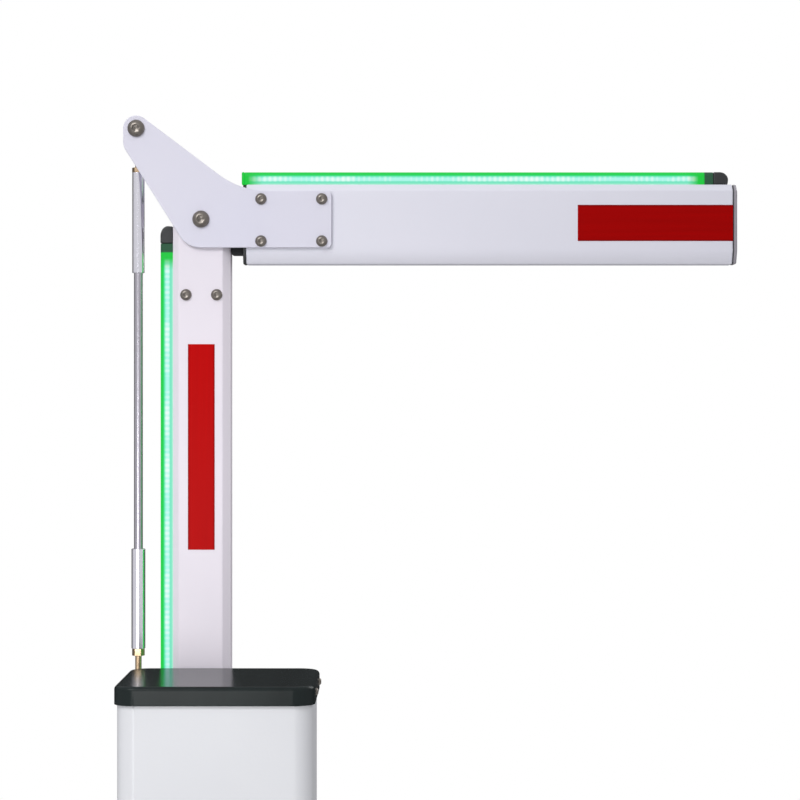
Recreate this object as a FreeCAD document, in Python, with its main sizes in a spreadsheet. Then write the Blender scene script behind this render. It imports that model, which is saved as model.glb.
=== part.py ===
"""Folding-arm parking barrier gate.

Frame: origin on the floor at the centre of the cabinet's base, +Z up, +X the way the upper boom
points, +Y from the service door towards the boom. Millimetres.
"""
import FreeCAD, Part
import math
import os
import re
import Sketcher
from FreeCAD import Placement, Rotation, Vector

SIZES = {
    # cabinet
    "cabinet_width": 225, "cabinet_depth": 193, "corner_radius": 22, "wall": 3,
    "total_height": 962, "cover_wall": 3, "cover_gap": 0.4, "cover_skirt": 22, "cover_edge": 5,
    "base_thickness": 8, "upstand_height": 50, "upstand_wall": 4, "seat_gap": 0.2,
    "anchor_pitch_x": 160, "anchor_pitch_y": 130, "anchor_hole": 14, "cable_hole": 60,
    "panel_screw": 5, "panel_screw_pitch": 100, "screw_clearance": 0.3,
    "vent_width": 90, "vent_height": 60, "vent_middle": 690, "vent_lap": 8, "vent_thickness": 3,
    "vent_slot": 5, "gland_side": 52.5, "gland_height": 895, "gland_bore": 16, "gland_nut": 6,
    "gland_dome": 12, "gland_tail": 8, "shaft_opening_gap": 2,
    # service door and its lock
    "door_side": 30.5, "door_height": 680, "door_bottom": 110, "door_lap": 10, "door_plate": 3,
    "door_gap": 0.3, "gasket_width": 7, "gasket_inset": 2, "gasket_thickness": 2.5, "knuckle_radius": 5,
    "knuckle_length": 30, "hinge_inset": 140, "hinge_pin": 5, "hinge_leaf": 2, "leaf_width": 26,
    "edge_gap": 1, "lock_side": 26, "lock_height": 450, "barrel_radius": 8,
    "lock_flange": 3, "lock_collar": 3, "lock_sleeve": 6, "cam_gap": 2, "key_width": 2, "key_height": 8,
    "cam_length": 26, "cam_width": 12, "cam_thickness": 3,
    # drive
    "shaft_side": 80.5, "shaft_height": 818, "shaft_diameter": 35, "running_gap": 0.05,
    "drill_run": 60, "drill_start": 5,
    "seal_thickness": 2.5, "seal_radius": 28, "hub_gap": 0.3, "hub_boss": 6.7, "hub_flange": 12,
    "hub_radius": 45, "frame_side": 27.5, "frame_depth": 34, "frame_plate": 4,
    "frame_bottom": 600, "frame_top": 900, "gearbox_width": 100, "gearbox_length": 80,
    "gearbox_above": 55, "gearbox_below": 62, "motor_diameter": 78, "motor_length": 165,
    "bearing_size": 84, "bearing_pitch": 60, "bearing_flange": 8, "bearing_boss": 10,
    "wall_bolt": 8, "spring_bore": 44, "spring_outer": 68, "spring_length": 50, "spring_gap": 2,
    "collar_radius": 36, "collar_width": 10, "control_width": 130, "control_height": 120,
    "control_depth": 48, "control_corner": 6, "control_bottom": 430,
    "motor_rib": 4, "motor_flange": 8, "terminal_inset": 8, "terminal_half": 22, "bearing_wall": 9,
    # linkage: the arm is the distance from shaft to elbow, and the rod is parallel to it
    "arm_length": 695, "link_left": 80, "link_rise": 112, "pivot_bolt": 12, "open_gap": 0.3,
    # booms
    "lower_width": 72, "upper_top": 44, "upper_drop": 55, "upper_start": 55.3, "upper_length": 601.5,
    "boom_depth": 45, "plate_gap": 1, "boom_wall": 2.5, "chamfer_deep": 9, "chamfer_left": 8,
    "chamfer_right": 9.5, "chamfer_top": 8, "chamfer_bottom": 16, "lower_foot": 45,
    "lower_head": 26, "cap_thickness": 3, "inner_cap": 4, "outer_cap": 5.5,
    "insert_side": 11, "insert_up": 22, "insert_down": 112, "insert_bolt": 8,
    "insert_bolt_pitch": 38, "insert_bolt_drop": 93, "bush_radius": 9, "bush_flange": 0.7,
    "bush_flange_radius": 13,
    # hinge plates
    "plate_thickness": 5, "plate_half": 35, "plate_reach": 161, "tip_radius": 16, "tip_slope": 37,
    "plate_elbow_drop": 22, "plate_heel": 17, "heel_radius": 30, "throat_radius": 100,
    "plate_corner": 5, "plate_bolt": 8, "plate_bolt_near": 74, "plate_bolt_far": 149,
    "plate_bolt_up": 25, "plate_bolt_down": 27, "stop_gap": 0.8, "stop_up": 33, "stop_down": 43,
    # LED strips and tapes
    "led_width": 16, "led_proud": 16, "led_wall": 1.5, "led_board": 1.6, "lower_led_top": 29,
    "lower_led_foot": 87, "led_cap_length": 22, "led_tail_cap": 4, "upper_led_start": 53,
    "upper_led_end": 634, "tape_thickness": 0.3, "lower_tape_width": 33, "lower_tape_top": 154,
    "lower_tape_length": 254, "upper_tape_start": 465, "upper_tape_up": 18, "upper_tape_down": 26.6,
    # cradle on the hub
    "cradle_web": 8, "cradle_side": 5, "cradle_up": 62, "cradle_down": 48, "cradle_gap": 0.2,
    "clamp_thickness": 6, "cradle_bolt": 10, "cradle_bolt_pitch": 40, "cradle_bolt_up": 44,
    "cradle_bolt_down": 30,
    # push rod
    "rod_radius": 5.5, "rod_up": 65, "upper_sleeve_radius": 7.6, "upper_sleeve_top": 60,
    "rod_down": 408, "lower_sleeve_radius": 8.6, "lower_sleeve_foot": 532, "rod_nut": 8,
    "rod_stud": 4, "eye_radius": 15, "eye_width": 10, "ball_radius": 11, "ball_width": 15,
    "bracket_plate": 8, "bracket_arm": 8, "pin_shoulder": 9, "pin_gap": 0.1, "sleeve_plug": 40,
    "stud_run": 30, "upper_rod_nut": 6, "lower_rod_nut": 9, "bracket_inset": 36.5, "bracket_near": 15,
    "bracket_drop": 40, "bracket_rise": 4, "bracket_corner": 4, "arm_left": 16, "arm_right": 24,
    "arm_drop": 16, "arm_rise": 14,
    "arm_corner": 12, "bracket_bolt_near": 26.5, "bracket_bolt_far": 12.5, "bracket_bolt_low": 22,
    "bracket_bolt_high": 8, "pin_end": 12, "cradle_lip": 6, "stop_inset": 5,
}
# sizes that follow from the ones above, as formulas of the sheet
FITTED = {
    "shaft_x": "=shaft_side - cabinet_width / 2", "door_width": "=cabinet_width - 2 * door_side",
    "lock_x": "=door_width / 2 - lock_side", "frame_width": "=cabinet_width - 2 * frame_side",
    "insert_width": "=lower_width - 2 * insert_side", "stop_near": "=lower_width / 2 + stop_gap",
    "gland_x": "=cabinet_width / 2 - gland_side",
}

doc = FreeCAD.newDocument("barrier_gate")
sheet = doc.addObject("Spreadsheet::Sheet", "Sizes")
for row, (alias, size) in enumerate({**SIZES, **FITTED}.items(), start=1):
    sheet.set(f"A{row}", alias)
    sheet.set(f"B{row}", str(size))
    sheet.setAlias(f"B{row}", alias)
doc.recompute()
nodes = {}

# places worked out from the driving sizes
INNER_REAR = "(cabinet_depth / 2 - wall)"
LOWER_FRONT = "(cabinet_depth / 2 + seal_thickness + hub_gap + hub_boss + hub_flange + cradle_web)"
LOWER_REAR = f"({LOWER_FRONT} + boom_depth - 2 * plate_gap)"
BOOM_MIDDLE = f"({LOWER_FRONT} + boom_depth / 2 - plate_gap)"
UPPER_FRONT = f"({LOWER_FRONT} - plate_gap)"
UPPER_REAR = f"({LOWER_REAR} + plate_gap)"
PIVOT_HEIGHT = "(shaft_height + arm_length)"
LINK_X = "(shaft_x - link_left)"
LINK_HEIGHT = f"({PIVOT_HEIGHT} + link_rise)"
ANCHOR_HEIGHT = "(shaft_height + link_rise)"
GEARBOX_REAR = f"({INNER_REAR} - frame_depth)"
GEARBOX_FRONT = f"({GEARBOX_REAR} - gearbox_length)"
BODY_TOP = "(total_height - cover_wall)"
BACK_FLAT = "(corner_radius - cabinet_width / 2)"


def expression(text):
    """The text with each size's name turned into its cell."""
    return re.sub(r"\b[a-z_]+\b", lambda m: f"Sizes.{m[0]}" if m[0] in {**SIZES, **FITTED} else m[0],
                  str(text))


def value(text):
    """The number that an expression gives now."""
    result = sheet.evalExpression(expression(text))
    return float(getattr(result, "Value", result))


def bind(thing, **properties):
    """Bind properties to expressions of the sheet."""
    for name, text in properties.items():
        thing.setExpression(name, expression(text))


TURNS = {
    "X": Rotation(Vector(0, 1, 0), 90), "-X": Rotation(Vector(0, 1, 0), -90),
    "Y": Rotation(Vector(1, 0, 0), -90), "-Y": Rotation(Vector(1, 0, 0), 90),
    "Z": Rotation(), "-Z": Rotation(Vector(1, 0, 0), 180),
}


def place(thing, spot, axis="Z"):
    """Put a thing at a spot of three expressions, with its own Z along an axis."""
    thing.Placement = Placement(Vector(0, 0, 0), TURNS[axis])
    for letter, text in zip("xyz", spot):
        thing.setExpression(f"Placement.Base.{letter}", expression(text))
    return thing


def bar(name, radius, length, spot, axis="Z"):
    """A round bar from a spot along an axis."""
    thing = doc.addObject("Part::Cylinder", name)
    bind(thing, Radius=radius, Height=length)
    return place(thing, spot, axis)


def hexagon(name, radius, length, spot, axis="Z"):
    """A six-sided bar, its radius taken to the corners."""
    thing = doc.addObject("Part::Prism", name)
    thing.Polygon = 6
    bind(thing, Circumradius=radius, Height=length)
    return place(thing, spot, axis)


def dome(name, radius, height, spot, axis="Z"):
    """A low cone with a flat top, as on a button head."""
    thing = doc.addObject("Part::Cone", name)
    bind(thing, Radius1=radius, Radius2=f"0.62 * ({radius})", Height=height)
    return place(thing, spot, axis)


def block(name, low, high):
    """A box between two corners of three expressions each."""
    thing = doc.addObject("Part::Box", name)
    spans = [f"({b}) - ({a})" for a, b in zip(low, high)]
    bind(thing, Length=spans[0], Width=spans[1], Height=spans[2])
    return place(thing, low)


def fuse(name, *parts):
    thing = doc.addObject("Part::MultiFuse", name)
    thing.Shapes = list(parts)
    return thing


def cut(name, base, *tools):
    thing = doc.addObject("Part::Cut", name)
    thing.Base = base
    thing.Tool = tools[0] if len(tools) == 1 else fuse(name + "_cuts", *tools)
    return thing


def group(name, parts):
    """Several separate solids kept as one node."""
    thing = doc.addObject("Part::Compound", name)
    thing.Links = list(parts)
    return thing


def node(label, thing):
    """Name a finished sub-part and list it for export."""
    thing.Label = label
    nodes[label] = thing
    return thing


def outline(sketch, corners):
    """A closed loop through corners (x, y, radius), where a radius of None leaves the corner sharp."""
    spots = [Vector(value(x), value(y), 0) for x, y, _ in corners]
    radii = [None if radius is None else value(radius) for _, _, radius in corners]
    count = len(corners)
    entry, leave, middle = [], [], []
    for i, here in enumerate(spots):
        back = (spots[i - 1] - here).normalize()
        ahead = (spots[(i + 1) % count] - here).normalize()
        if radii[i] is None:
            entry.append(here)
            leave.append(here)
            middle.append(None)
            continue
        half = back.getAngle(ahead) / 2
        reach = radii[i] / math.tan(half)
        entry.append(here + back * reach)
        leave.append(here + ahead * reach)
        middle.append(here + (back + ahead).normalize() * (radii[i] / math.sin(half)))
    lines = [sketch.addGeometry(Part.LineSegment(leave[i], entry[(i + 1) % count]), False)
             for i in range(count)]
    rules, formulas = [], []

    def fix(geometry, point, i):
        for kind, axis, text in (("DistanceX", -2, corners[i][0]), ("DistanceY", -1, corners[i][1])):
            number = value(text)
            if abs(number) < 1e-9:
                rules.append(Sketcher.Constraint("PointOnObject", geometry, point, axis))
            else:
                formulas.append((len(rules), text))
                rules.append(Sketcher.Constraint(kind, -1, 1, geometry, point, number))

    for i in range(count):
        before, after = lines[i - 1], lines[i]
        if radii[i] is None:
            rules.append(Sketcher.Constraint("Coincident", before, 2, after, 1))
            fix(after, 1, i)
            continue
        start = math.atan2(entry[i].y - middle[i].y, entry[i].x - middle[i].x)
        stop = math.atan2(leave[i].y - middle[i].y, leave[i].x - middle[i].x)
        turn = (spots[i] - spots[i - 1]).cross(spots[(i + 1) % count] - spots[i]).z
        first, last = (1, 2) if turn > 0 else (2, 1)
        if turn < 0:
            start, stop = stop, start
        circle = Part.Circle(middle[i], Vector(0, 0, 1), radii[i])
        arc = sketch.addGeometry(Part.ArcOfCircle(circle, start, stop), False)
        corner = sketch.addGeometry(Part.Point(spots[i]), True)
        fix(corner, 1, i)
        rules.append(Sketcher.Constraint("PointOnObject", corner, 1, before))
        rules.append(Sketcher.Constraint("PointOnObject", corner, 1, after))
        rules.append(Sketcher.Constraint("Tangent", before, 2, arc, first))
        rules.append(Sketcher.Constraint("Tangent", arc, last, after, 1))
        formulas.append((len(rules), corners[i][2]))
        rules.append(Sketcher.Constraint("Radius", arc, radii[i]))
    offset = sketch.ConstraintCount
    sketch.addConstraint(rules)
    for index, text in formulas:
        sketch.setExpression(f"Constraints[{offset + index}]", expression(text))


def circle(sketch, x, y, radius):
    """A full circle about a centre of two expressions."""
    number = sketch.addGeometry(
        Part.Circle(Vector(value(x), value(y), 0), Vector(0, 0, 1), value(radius)), False)
    for kind, axis, text in (("DistanceX", -2, x), ("DistanceY", -1, y)):
        if abs(value(text)) < 1e-9:
            sketch.addConstraint(Sketcher.Constraint("PointOnObject", number, 3, axis))
        else:
            index = sketch.addConstraint(Sketcher.Constraint(kind, -1, 1, number, 3, value(text)))
            sketch.setExpression(f"Constraints[{index}]", expression(text))
    index = sketch.addConstraint(Sketcher.Constraint("Radius", number, value(radius)))
    sketch.setExpression(f"Constraints[{index}]", expression(radius))


def extrusion(name, plane, loops, length, spot, circles=()):
    """A body padded from loops and circles on one origin plane: +Z from XY, -Y from XZ, +X from YZ."""
    body = doc.addObject("PartDesign::Body", name)
    sketch = body.newObject("Sketcher::SketchObject", name + "_outline")
    origin_plane = next(f for f in body.Origin.OriginFeatures if f.Role == plane + "_Plane")
    sketch.AttachmentSupport = [(origin_plane, "")]
    sketch.MapMode = "FlatFace"
    for loop in loops:
        outline(sketch, loop)
    for x, y, radius in circles:
        circle(sketch, x, y, radius)
    pad = body.newObject("PartDesign::Pad", name + "_pad")
    pad.Profile = sketch
    bind(pad, Length=length)
    return place(body, spot)


def rectangle(half_x, half_y, radius=None):
    """A rectangle about the origin, as a loop."""
    return [(f"-({half_x})", f"-({half_y})", radius), (half_x, f"-({half_y})", radius),
            (half_x, half_y, radius), (f"-({half_x})", half_y, radius)]


def frame_loop(x0, x1, y0, y1, radius=None):
    """A rectangle between two corners, as a loop."""
    return [(x0, y0, radius), (x1, y0, radius), (x1, y1, radius), (x0, y1, radius)]


def cabinet_loop(inset):
    """The cabinet's rounded outline, drawn in by an inset."""
    return rectangle(f"cabinet_width / 2 - ({inset})", f"cabinet_depth / 2 - ({inset})",
                     f"corner_radius - ({inset})")


def boom_loop(low, high, low_chamfer, high_chamfer, depth, inset, upright):
    """A boom's eight-cornered section; upright swaps its two directions for the upper boom."""
    a = f"({low}) + ({inset})"
    b = f"({high}) - ({inset})"
    half = f"({depth}) / 2 - ({inset})"
    slim = f"0.6 * ({inset})"
    deep = f"chamfer_deep - {slim}"
    corners = [
        (f"{a} + {low_chamfer} - {slim}", f"-({half})"), (f"{b} - {high_chamfer} + {slim}", f"-({half})"),
        (b, f"-({half}) + {deep}"), (b, f"{half} - ({deep})"),
        (f"{b} - {high_chamfer} + {slim}", half), (f"{a} + {low_chamfer} - {slim}", half),
        (a, f"{half} - ({deep})"), (a, f"-({half}) + {deep}"),
    ]
    if upright:
        return [(y, x, None) for x, y in reversed(corners)]
    return [(x, y, None) for x, y in corners]


def button_bolt(name, size, length, spot, axis):
    """A socket button bolt: its seat is at the spot and its head points along the axis."""
    back = {"X": "-X", "-X": "X", "Y": "-Y", "-Y": "Y", "Z": "-Z"}[axis]
    head = dome(name + "_head", f"0.88 * {size}", f"0.55 * {size}", spot, axis)
    shank = bar(name + "_shank", f"{size} / 2", length, spot, back)
    whole = fuse(name + "_blank", head, shank)
    step = {"X": (1, 0, 0), "-X": (-1, 0, 0), "Y": (0, 1, 0), "-Y": (0, -1, 0), "Z": (0, 0, 1)}[axis]
    mouth = [f"({s}) + {d} * 0.25 * {size}" for s, d in zip(spot, step)]
    socket = hexagon(name + "_socket", f"0.34 * {size}", f"0.6 * {size}", mouth, axis)
    return cut(name, whole, socket)


def hex_nut(name, size, thickness, spot, axis, bore):
    """A hexagon nut about a bolt, standing from the spot along the axis."""
    blank = hexagon(name + "_blank", f"0.94 * {size}", thickness, spot, axis)
    return cut(name, blank, bar(name + "_bore", bore, thickness, spot, axis))


# --- cabinet: base, body and cover -------------------------------------------------------------
BASE_SCREW_HEIGHT = "(base_thickness + upstand_height / 2)"
COVER_SCREW_HEIGHT = "(total_height - cover_skirt / 2)"


def side_holes(name, height):
    """Round tools along X through both sides, for the panel screws at one height."""
    return [bar(f"{name}_{k}", "panel_screw / 2 + screw_clearance", "cabinet_width + 20",
                ("-cabinet_width / 2 - 10", f"{k} * panel_screw_pitch / 2", height), "X")
            for k in (-1, 1)]


anchors = [(f"{i} * anchor_pitch_x / 2", f"{j} * anchor_pitch_y / 2", "anchor_hole / 2")
           for i in (-1, 1) for j in (-1, 1)]
base_plate = extrusion("base_plate", "XY", [cabinet_loop("0")], "base_thickness", (0, 0, 0),
                       anchors + [("0", "0", "cable_hole / 2")])
upstand = extrusion("upstand", "XY",
                    [cabinet_loop("wall + seat_gap"), cabinet_loop("wall + seat_gap + upstand_wall")],
                    "upstand_height", (0, 0, "base_thickness"))
node("base_frame", cut("base_drilled", fuse("base_welded", base_plate, upstand),
                       *side_holes("base_hole", BASE_SCREW_HEIGHT)))

shell = extrusion("body_shell", "XY", [cabinet_loop("0"), cabinet_loop("wall")],
                  f"{BODY_TOP} - base_thickness", (0, 0, "base_thickness"))
openings = [
    block("door_opening", ("-door_width / 2 + door_lap", "-cabinet_depth / 2 - 1", "door_bottom + door_lap"),
          ("door_width / 2 - door_lap", "-cabinet_depth / 2 + wall + 1",
           "door_bottom + door_height - door_lap")),
    bar("shaft_hole", "shaft_diameter / 2 + shaft_opening_gap", "wall + 2",
        ("shaft_x", f"{INNER_REAR} - 1", "shaft_height"), "Y"),
    bar("gland_hole", "gland_bore / 2 + screw_clearance", "wall + 2",
        ("gland_x", f"{INNER_REAR} - 1", "gland_height"), "Y"),
    block("vent_openings", ("-cabinet_width / 2 - 1", "-vent_width / 2", "vent_middle - vent_height / 2"),
          ("cabinet_width / 2 + 1", "vent_width / 2", "vent_middle + vent_height / 2")),
]
bearing_bolts = [("shaft_x + %d * bearing_pitch / 2" % i, "shaft_height + %d * bearing_pitch / 2" % j)
                 for i in (-1, 1) for j in (-1, 1)]
bracket_bolts = [(f"{BACK_FLAT} + bracket_bolt_near", f"{ANCHOR_HEIGHT} - bracket_bolt_low"),
                 (f"{BACK_FLAT} + bracket_bolt_far", f"{ANCHOR_HEIGHT} - bracket_bolt_high")]
for i, (x, z) in enumerate(bearing_bolts + bracket_bolts):
    openings.append(bar(f"wall_bolt_hole_{i}", "wall_bolt / 2 + screw_clearance", "wall + 2",
                        (x, f"{INNER_REAR} - 1", z), "Y"))
openings += side_holes("body_low_hole", BASE_SCREW_HEIGHT) + side_holes("body_top_hole", COVER_SCREW_HEIGHT)
node("cabinet_body", cut("body_cut", shell, *openings))

cover_outer = extrusion("cover_outer", "XY", [cabinet_loop("-cover_gap - cover_wall")], "cover_skirt",
                        (0, 0, "total_height - cover_skirt"))
doc.recompute()
cover_pad = cover_outer.Tip
top_edges = [f"Edge{i}" for i, edge in enumerate(cover_pad.Shape.Edges, start=1)
             if abs(edge.CenterOfMass.z - value("cover_skirt")) < 1e-3]
rounding = cover_outer.newObject("PartDesign::Fillet", "cover_rounding")
rounding.Base = (cover_pad, top_edges)
bind(rounding, Radius="cover_edge")
cover_outer.Tip = rounding
cover_hollow = extrusion("cover_hollow", "XY", [cabinet_loop("-cover_gap")], "cover_skirt - cover_wall",
                         (0, 0, "total_height - cover_skirt"))
node("top_cover", cut("cover_cut", cover_outer, cover_hollow,
                      *side_holes("cover_hole", COVER_SCREW_HEIGHT)))

screws = []
for k in (-1, 1):
    for side, axis in ((-1, "-X"), (1, "X")):
        screws.append(button_bolt(
            f"base_screw_{k}_{side}", "panel_screw", "wall + seat_gap + upstand_wall",
            (f"{side} * cabinet_width / 2", f"{k} * panel_screw_pitch / 2", BASE_SCREW_HEIGHT), axis))
        screws.append(button_bolt(
            f"cover_screw_{k}_{side}", "panel_screw", "wall + cover_gap + cover_wall",
            (f"{side} * (cabinet_width / 2 + cover_gap + cover_wall)", f"{k} * panel_screw_pitch / 2",
             COVER_SCREW_HEIGHT), axis))
node("body_screws", group("screw_group", screws))

vents = []
for side, axis in ((-1, "-X"), (1, "X")):
    low = "cabinet_width / 2" if side > 0 else "-cabinet_width / 2 - vent_thickness"
    high = "cabinet_width / 2 + vent_thickness" if side > 0 else "-cabinet_width / 2"
    plate = block(f"vent_plate_{side}",
                  (low, "-vent_width / 2 - vent_lap", "vent_middle - vent_height / 2 - vent_lap"),
                  (high, "vent_width / 2 + vent_lap", "vent_middle + vent_height / 2 + vent_lap"))
    slots = [block(f"vent_slot_{side}_{k}",
                   (f"{low} - 1", "-vent_width / 2", f"vent_middle + {k} * 2 * vent_slot - vent_slot / 2"),
                   (f"{high} + 1", "vent_width / 2", f"vent_middle + {k} * 2 * vent_slot + vent_slot / 2"))
             for k in (-2, -1, 0, 1, 2)]
    vents.append(cut(f"vent_{side}", plate, *slots))
node("side_vents", group("vent_group", vents))

gland_flange = hexagon("gland_flange", "0.8 * gland_bore", "gland_nut",
                       ("gland_x", "cabinet_depth / 2", "gland_height"), "Y")
gland_thread = bar("gland_thread", "gland_bore / 2", "wall + gland_tail",
                   ("gland_x", f"{INNER_REAR} - gland_tail", "gland_height"), "Y")
gland_cap = dome("gland_dome", "0.62 * gland_bore", "gland_dome",
                 ("gland_x", "cabinet_depth / 2 + gland_nut", "gland_height"), "Y")
lead_hole = bar("gland_through", "gland_bore / 4", "wall + 3 * gland_tail + gland_nut + gland_dome",
                ("gland_x", f"{INNER_REAR} - 2 * gland_tail", "gland_height"), "Y")
node("cable_gland", cut("gland_bored", fuse("gland_whole", gland_flange, gland_thread, gland_cap), lead_hole))

# --- service door ------------------------------------------------------------------------------
FRONT = "(-cabinet_depth / 2)"
PANEL_REAR = f"({FRONT} - gasket_thickness - door_gap)"
PANEL_FRONT = f"({PANEL_REAR} - door_plate)"
HINGE_X = "(-door_width / 2 - edge_gap - knuckle_radius)"
HINGE_Y = f"({FRONT} - door_gap - knuckle_radius)"
door_edges = ("-door_width / 2", "door_width / 2", "door_bottom", "door_bottom + door_height")
gasket_outer, gasket_inner = [
    (f"-door_width / 2 + {inset}", f"door_width / 2 - {inset}", f"door_bottom + {inset}",
     f"door_bottom + door_height - {inset}") for inset in ("gasket_inset", "(gasket_inset + gasket_width)")]
node("door_gasket", extrusion("gasket", "XZ", [frame_loop(*gasket_outer), frame_loop(*gasket_inner)],
                              "gasket_thickness", (0, FRONT, 0)))
node("door_panel", extrusion("panel", "XZ", [frame_loop(*door_edges, "4")], "door_plate", (0, PANEL_REAR, 0),
                             [("lock_x", "lock_height", "barrel_radius + lock_collar + 0.1")]))
lower_knuckles, upper_knuckles = [], []
for k, end in ((1, "door_bottom + hinge_inset"), (2, "door_bottom + door_height - hinge_inset")):
    knuckle = bar(f"frame_knuckle_{k}", "knuckle_radius", "knuckle_length",
                  (HINGE_X, HINGE_Y, f"{end} - knuckle_length"))
    foot = block(f"frame_foot_{k}", (f"{HINGE_X} - 3", HINGE_Y, f"{end} - knuckle_length"),
                 (f"{HINGE_X} + 3", FRONT, end))
    pin = bar(f"frame_pin_{k}", "hinge_pin / 2", "knuckle_length", (HINGE_X, HINGE_Y, end))
    lower_knuckles.append(fuse(f"frame_hinge_{k}", knuckle, foot, pin))
    tube = bar(f"door_knuckle_{k}", "knuckle_radius", "knuckle_length - door_gap",
               (HINGE_X, HINGE_Y, f"{end} + door_gap"))
    leaf = block(f"door_leaf_{k}", (HINGE_X, f"{PANEL_FRONT} - hinge_leaf", f"{end} + door_gap"),
                 (f"{HINGE_X} + knuckle_radius + leaf_width", PANEL_FRONT, f"{end} + knuckle_length"))
    hole = bar(f"door_knuckle_bore_{k}", "hinge_pin / 2 + running_gap", "knuckle_length",
               (HINGE_X, HINGE_Y, f"{end} + door_gap"))
    upper_knuckles.append(cut(f"door_hinge_{k}", fuse(f"door_hinge_blank_{k}", tube, leaf), hole))
node("frame_hinges", group("frame_hinge_group", lower_knuckles))
node("door_hinges", group("door_hinge_group", upper_knuckles))

CAM_FRONT = f"({FRONT} + wall + cam_gap)"
housing = fuse("housing_blank",
               bar("housing_flange", "barrel_radius + 2 * lock_collar", "lock_flange",
                   ("lock_x", PANEL_FRONT, "lock_height"), "-Y"),
               bar("housing_sleeve", "barrel_radius + lock_collar", "door_plate + lock_sleeve",
                   ("lock_x", PANEL_FRONT, "lock_height"), "Y"))
node("lock_housing", cut("housing_bored", housing,
                         bar("housing_bore", "barrel_radius + running_gap", "door_plate + 3 * lock_sleeve",
                             ("lock_x", f"{PANEL_FRONT} - 2 * lock_flange", "lock_height"), "Y")))
barrel = bar("barrel_blank", "barrel_radius", f"{CAM_FRONT} - ({PANEL_FRONT} - lock_flange)",
             ("lock_x", f"{PANEL_FRONT} - lock_flange", "lock_height"), "Y")
key_slot = block("key_slot",
                 ("lock_x - key_width / 2", f"{PANEL_FRONT} - lock_flange - 1", "lock_height - key_height / 2"),
                 ("lock_x + key_width / 2", f"{PANEL_FRONT} + lock_flange + 1", "lock_height + key_height / 2"))
node("lock_barrel", cut("barrel_slotted", barrel, key_slot))
node("lock_cam", extrusion(
    "cam", "XZ", [frame_loop("-cam_width / 2", "cam_width / 2", "-cam_width / 2", "cam_length", "3")],
    "cam_thickness", ("lock_x", f"{CAM_FRONT} + cam_thickness", "lock_height")))

# --- drive inside the cabinet ------------------------------------------------------------------
bracket_loop = [
    ("-frame_width / 2", "0", None), ("-frame_width / 2", "-frame_depth", None),
    ("frame_width / 2", "-frame_depth", None), ("frame_width / 2", "0", None),
    ("frame_width / 2 - frame_plate", "0", None),
    ("frame_width / 2 - frame_plate", "-frame_depth + frame_plate", None),
    ("-frame_width / 2 + frame_plate", "-frame_depth + frame_plate", None),
    ("-frame_width / 2 + frame_plate", "0", None),
]
drive_channel = extrusion("drive_channel", "XY", [bracket_loop], "frame_top - frame_bottom",
                          (0, INNER_REAR, "frame_bottom"))
node("inner_frame", cut("drive_channel_bored", drive_channel,
                        bar("channel_bore", "shaft_diameter / 2 + 3", "frame_plate + 2",
                            ("shaft_x", f"{GEARBOX_REAR} - 1", "shaft_height"), "Y")))
gear_case = extrusion(
    "gear_case", "XZ",
    [frame_loop("-gearbox_width / 2", "gearbox_width / 2", "-gearbox_below", "gearbox_above", "12")],
    "gearbox_length", ("shaft_x", GEARBOX_REAR, "shaft_height"))
motor_flange = bar("motor_flange", "motor_diameter / 2 - motor_rib", "motor_flange",
                   ("shaft_x", f"{GEARBOX_FRONT} + gearbox_length / 2",
                    "shaft_height - gearbox_below - motor_flange"))
node("gearbox", cut("gear_case_bored", fuse("gear_case_blank", gear_case, motor_flange),
                    bar("gear_bore", "shaft_diameter / 2 + running_gap", "gearbox_length + 2",
                        ("shaft_x", f"{GEARBOX_FRONT} - 1", "shaft_height"), "Y")))
motor_spot = ("shaft_x", f"{GEARBOX_FRONT} + gearbox_length / 2",
              "shaft_height - gearbox_below - motor_flange - motor_length")
motor_barrel = bar("motor_barrel", "motor_diameter / 2 - motor_rib", "motor_length", motor_spot)
motor_ribs = bar("motor_ribs", "motor_diameter / 2", "0.5 * motor_length",
                 (motor_spot[0], motor_spot[1], f"{motor_spot[2]} + 0.4 * motor_length"))
motor_fan = bar("motor_fan_cover", "motor_diameter / 2 - 1", "0.28 * motor_length", motor_spot)
terminal_box = block("terminal_box",
                     ("shaft_x + motor_diameter / 2 - terminal_inset", f"{motor_spot[1]} - terminal_half",
                      f"{motor_spot[2]} + 0.5 * motor_length"),
                     ("shaft_x + motor_diameter / 2 + terminal_half", f"{motor_spot[1]} + terminal_half",
                      f"{motor_spot[2]} + 0.85 * motor_length"))
node("drive_motor", fuse("motor", motor_barrel, motor_ribs, motor_fan, terminal_box))

bearing_loop = frame_loop("-bearing_size / 2", "bearing_size / 2", "-bearing_size / 2", "bearing_size / 2",
                          "12")
bearing_holes = [(f"{i} * bearing_pitch / 2", f"{j} * bearing_pitch / 2", "wall_bolt / 2 + screw_clearance")
                 for i in (-1, 1) for j in (-1, 1)]
bearing_plate = extrusion("bearing_plate", "XZ", [bearing_loop], "bearing_flange",
                          ("shaft_x", INNER_REAR, "shaft_height"), bearing_holes)
bearing_barrel = bar("bearing_barrel", "shaft_diameter / 2 + bearing_wall", "bearing_boss",
                     ("shaft_x", f"{INNER_REAR} - bearing_flange", "shaft_height"), "-Y")
node("output_bearing", cut("bearing_bored", fuse("bearing_blank", bearing_plate, bearing_barrel),
                           bar("bearing_bore", "shaft_diameter / 2 + running_gap", "drill_run",
                               ("shaft_x", f"{INNER_REAR} - 2 * bearing_flange - 2 * bearing_boss",
                                "shaft_height"), "Y")))
seal_spot = ("shaft_x", "cabinet_depth / 2", "shaft_height")
node("shaft_seal", cut("seal_ring", bar("seal_disc", "seal_radius", "seal_thickness", seal_spot, "Y"),
                       bar("seal_bore", "shaft_diameter / 2 + door_gap", "seal_thickness", seal_spot, "Y")))
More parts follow.
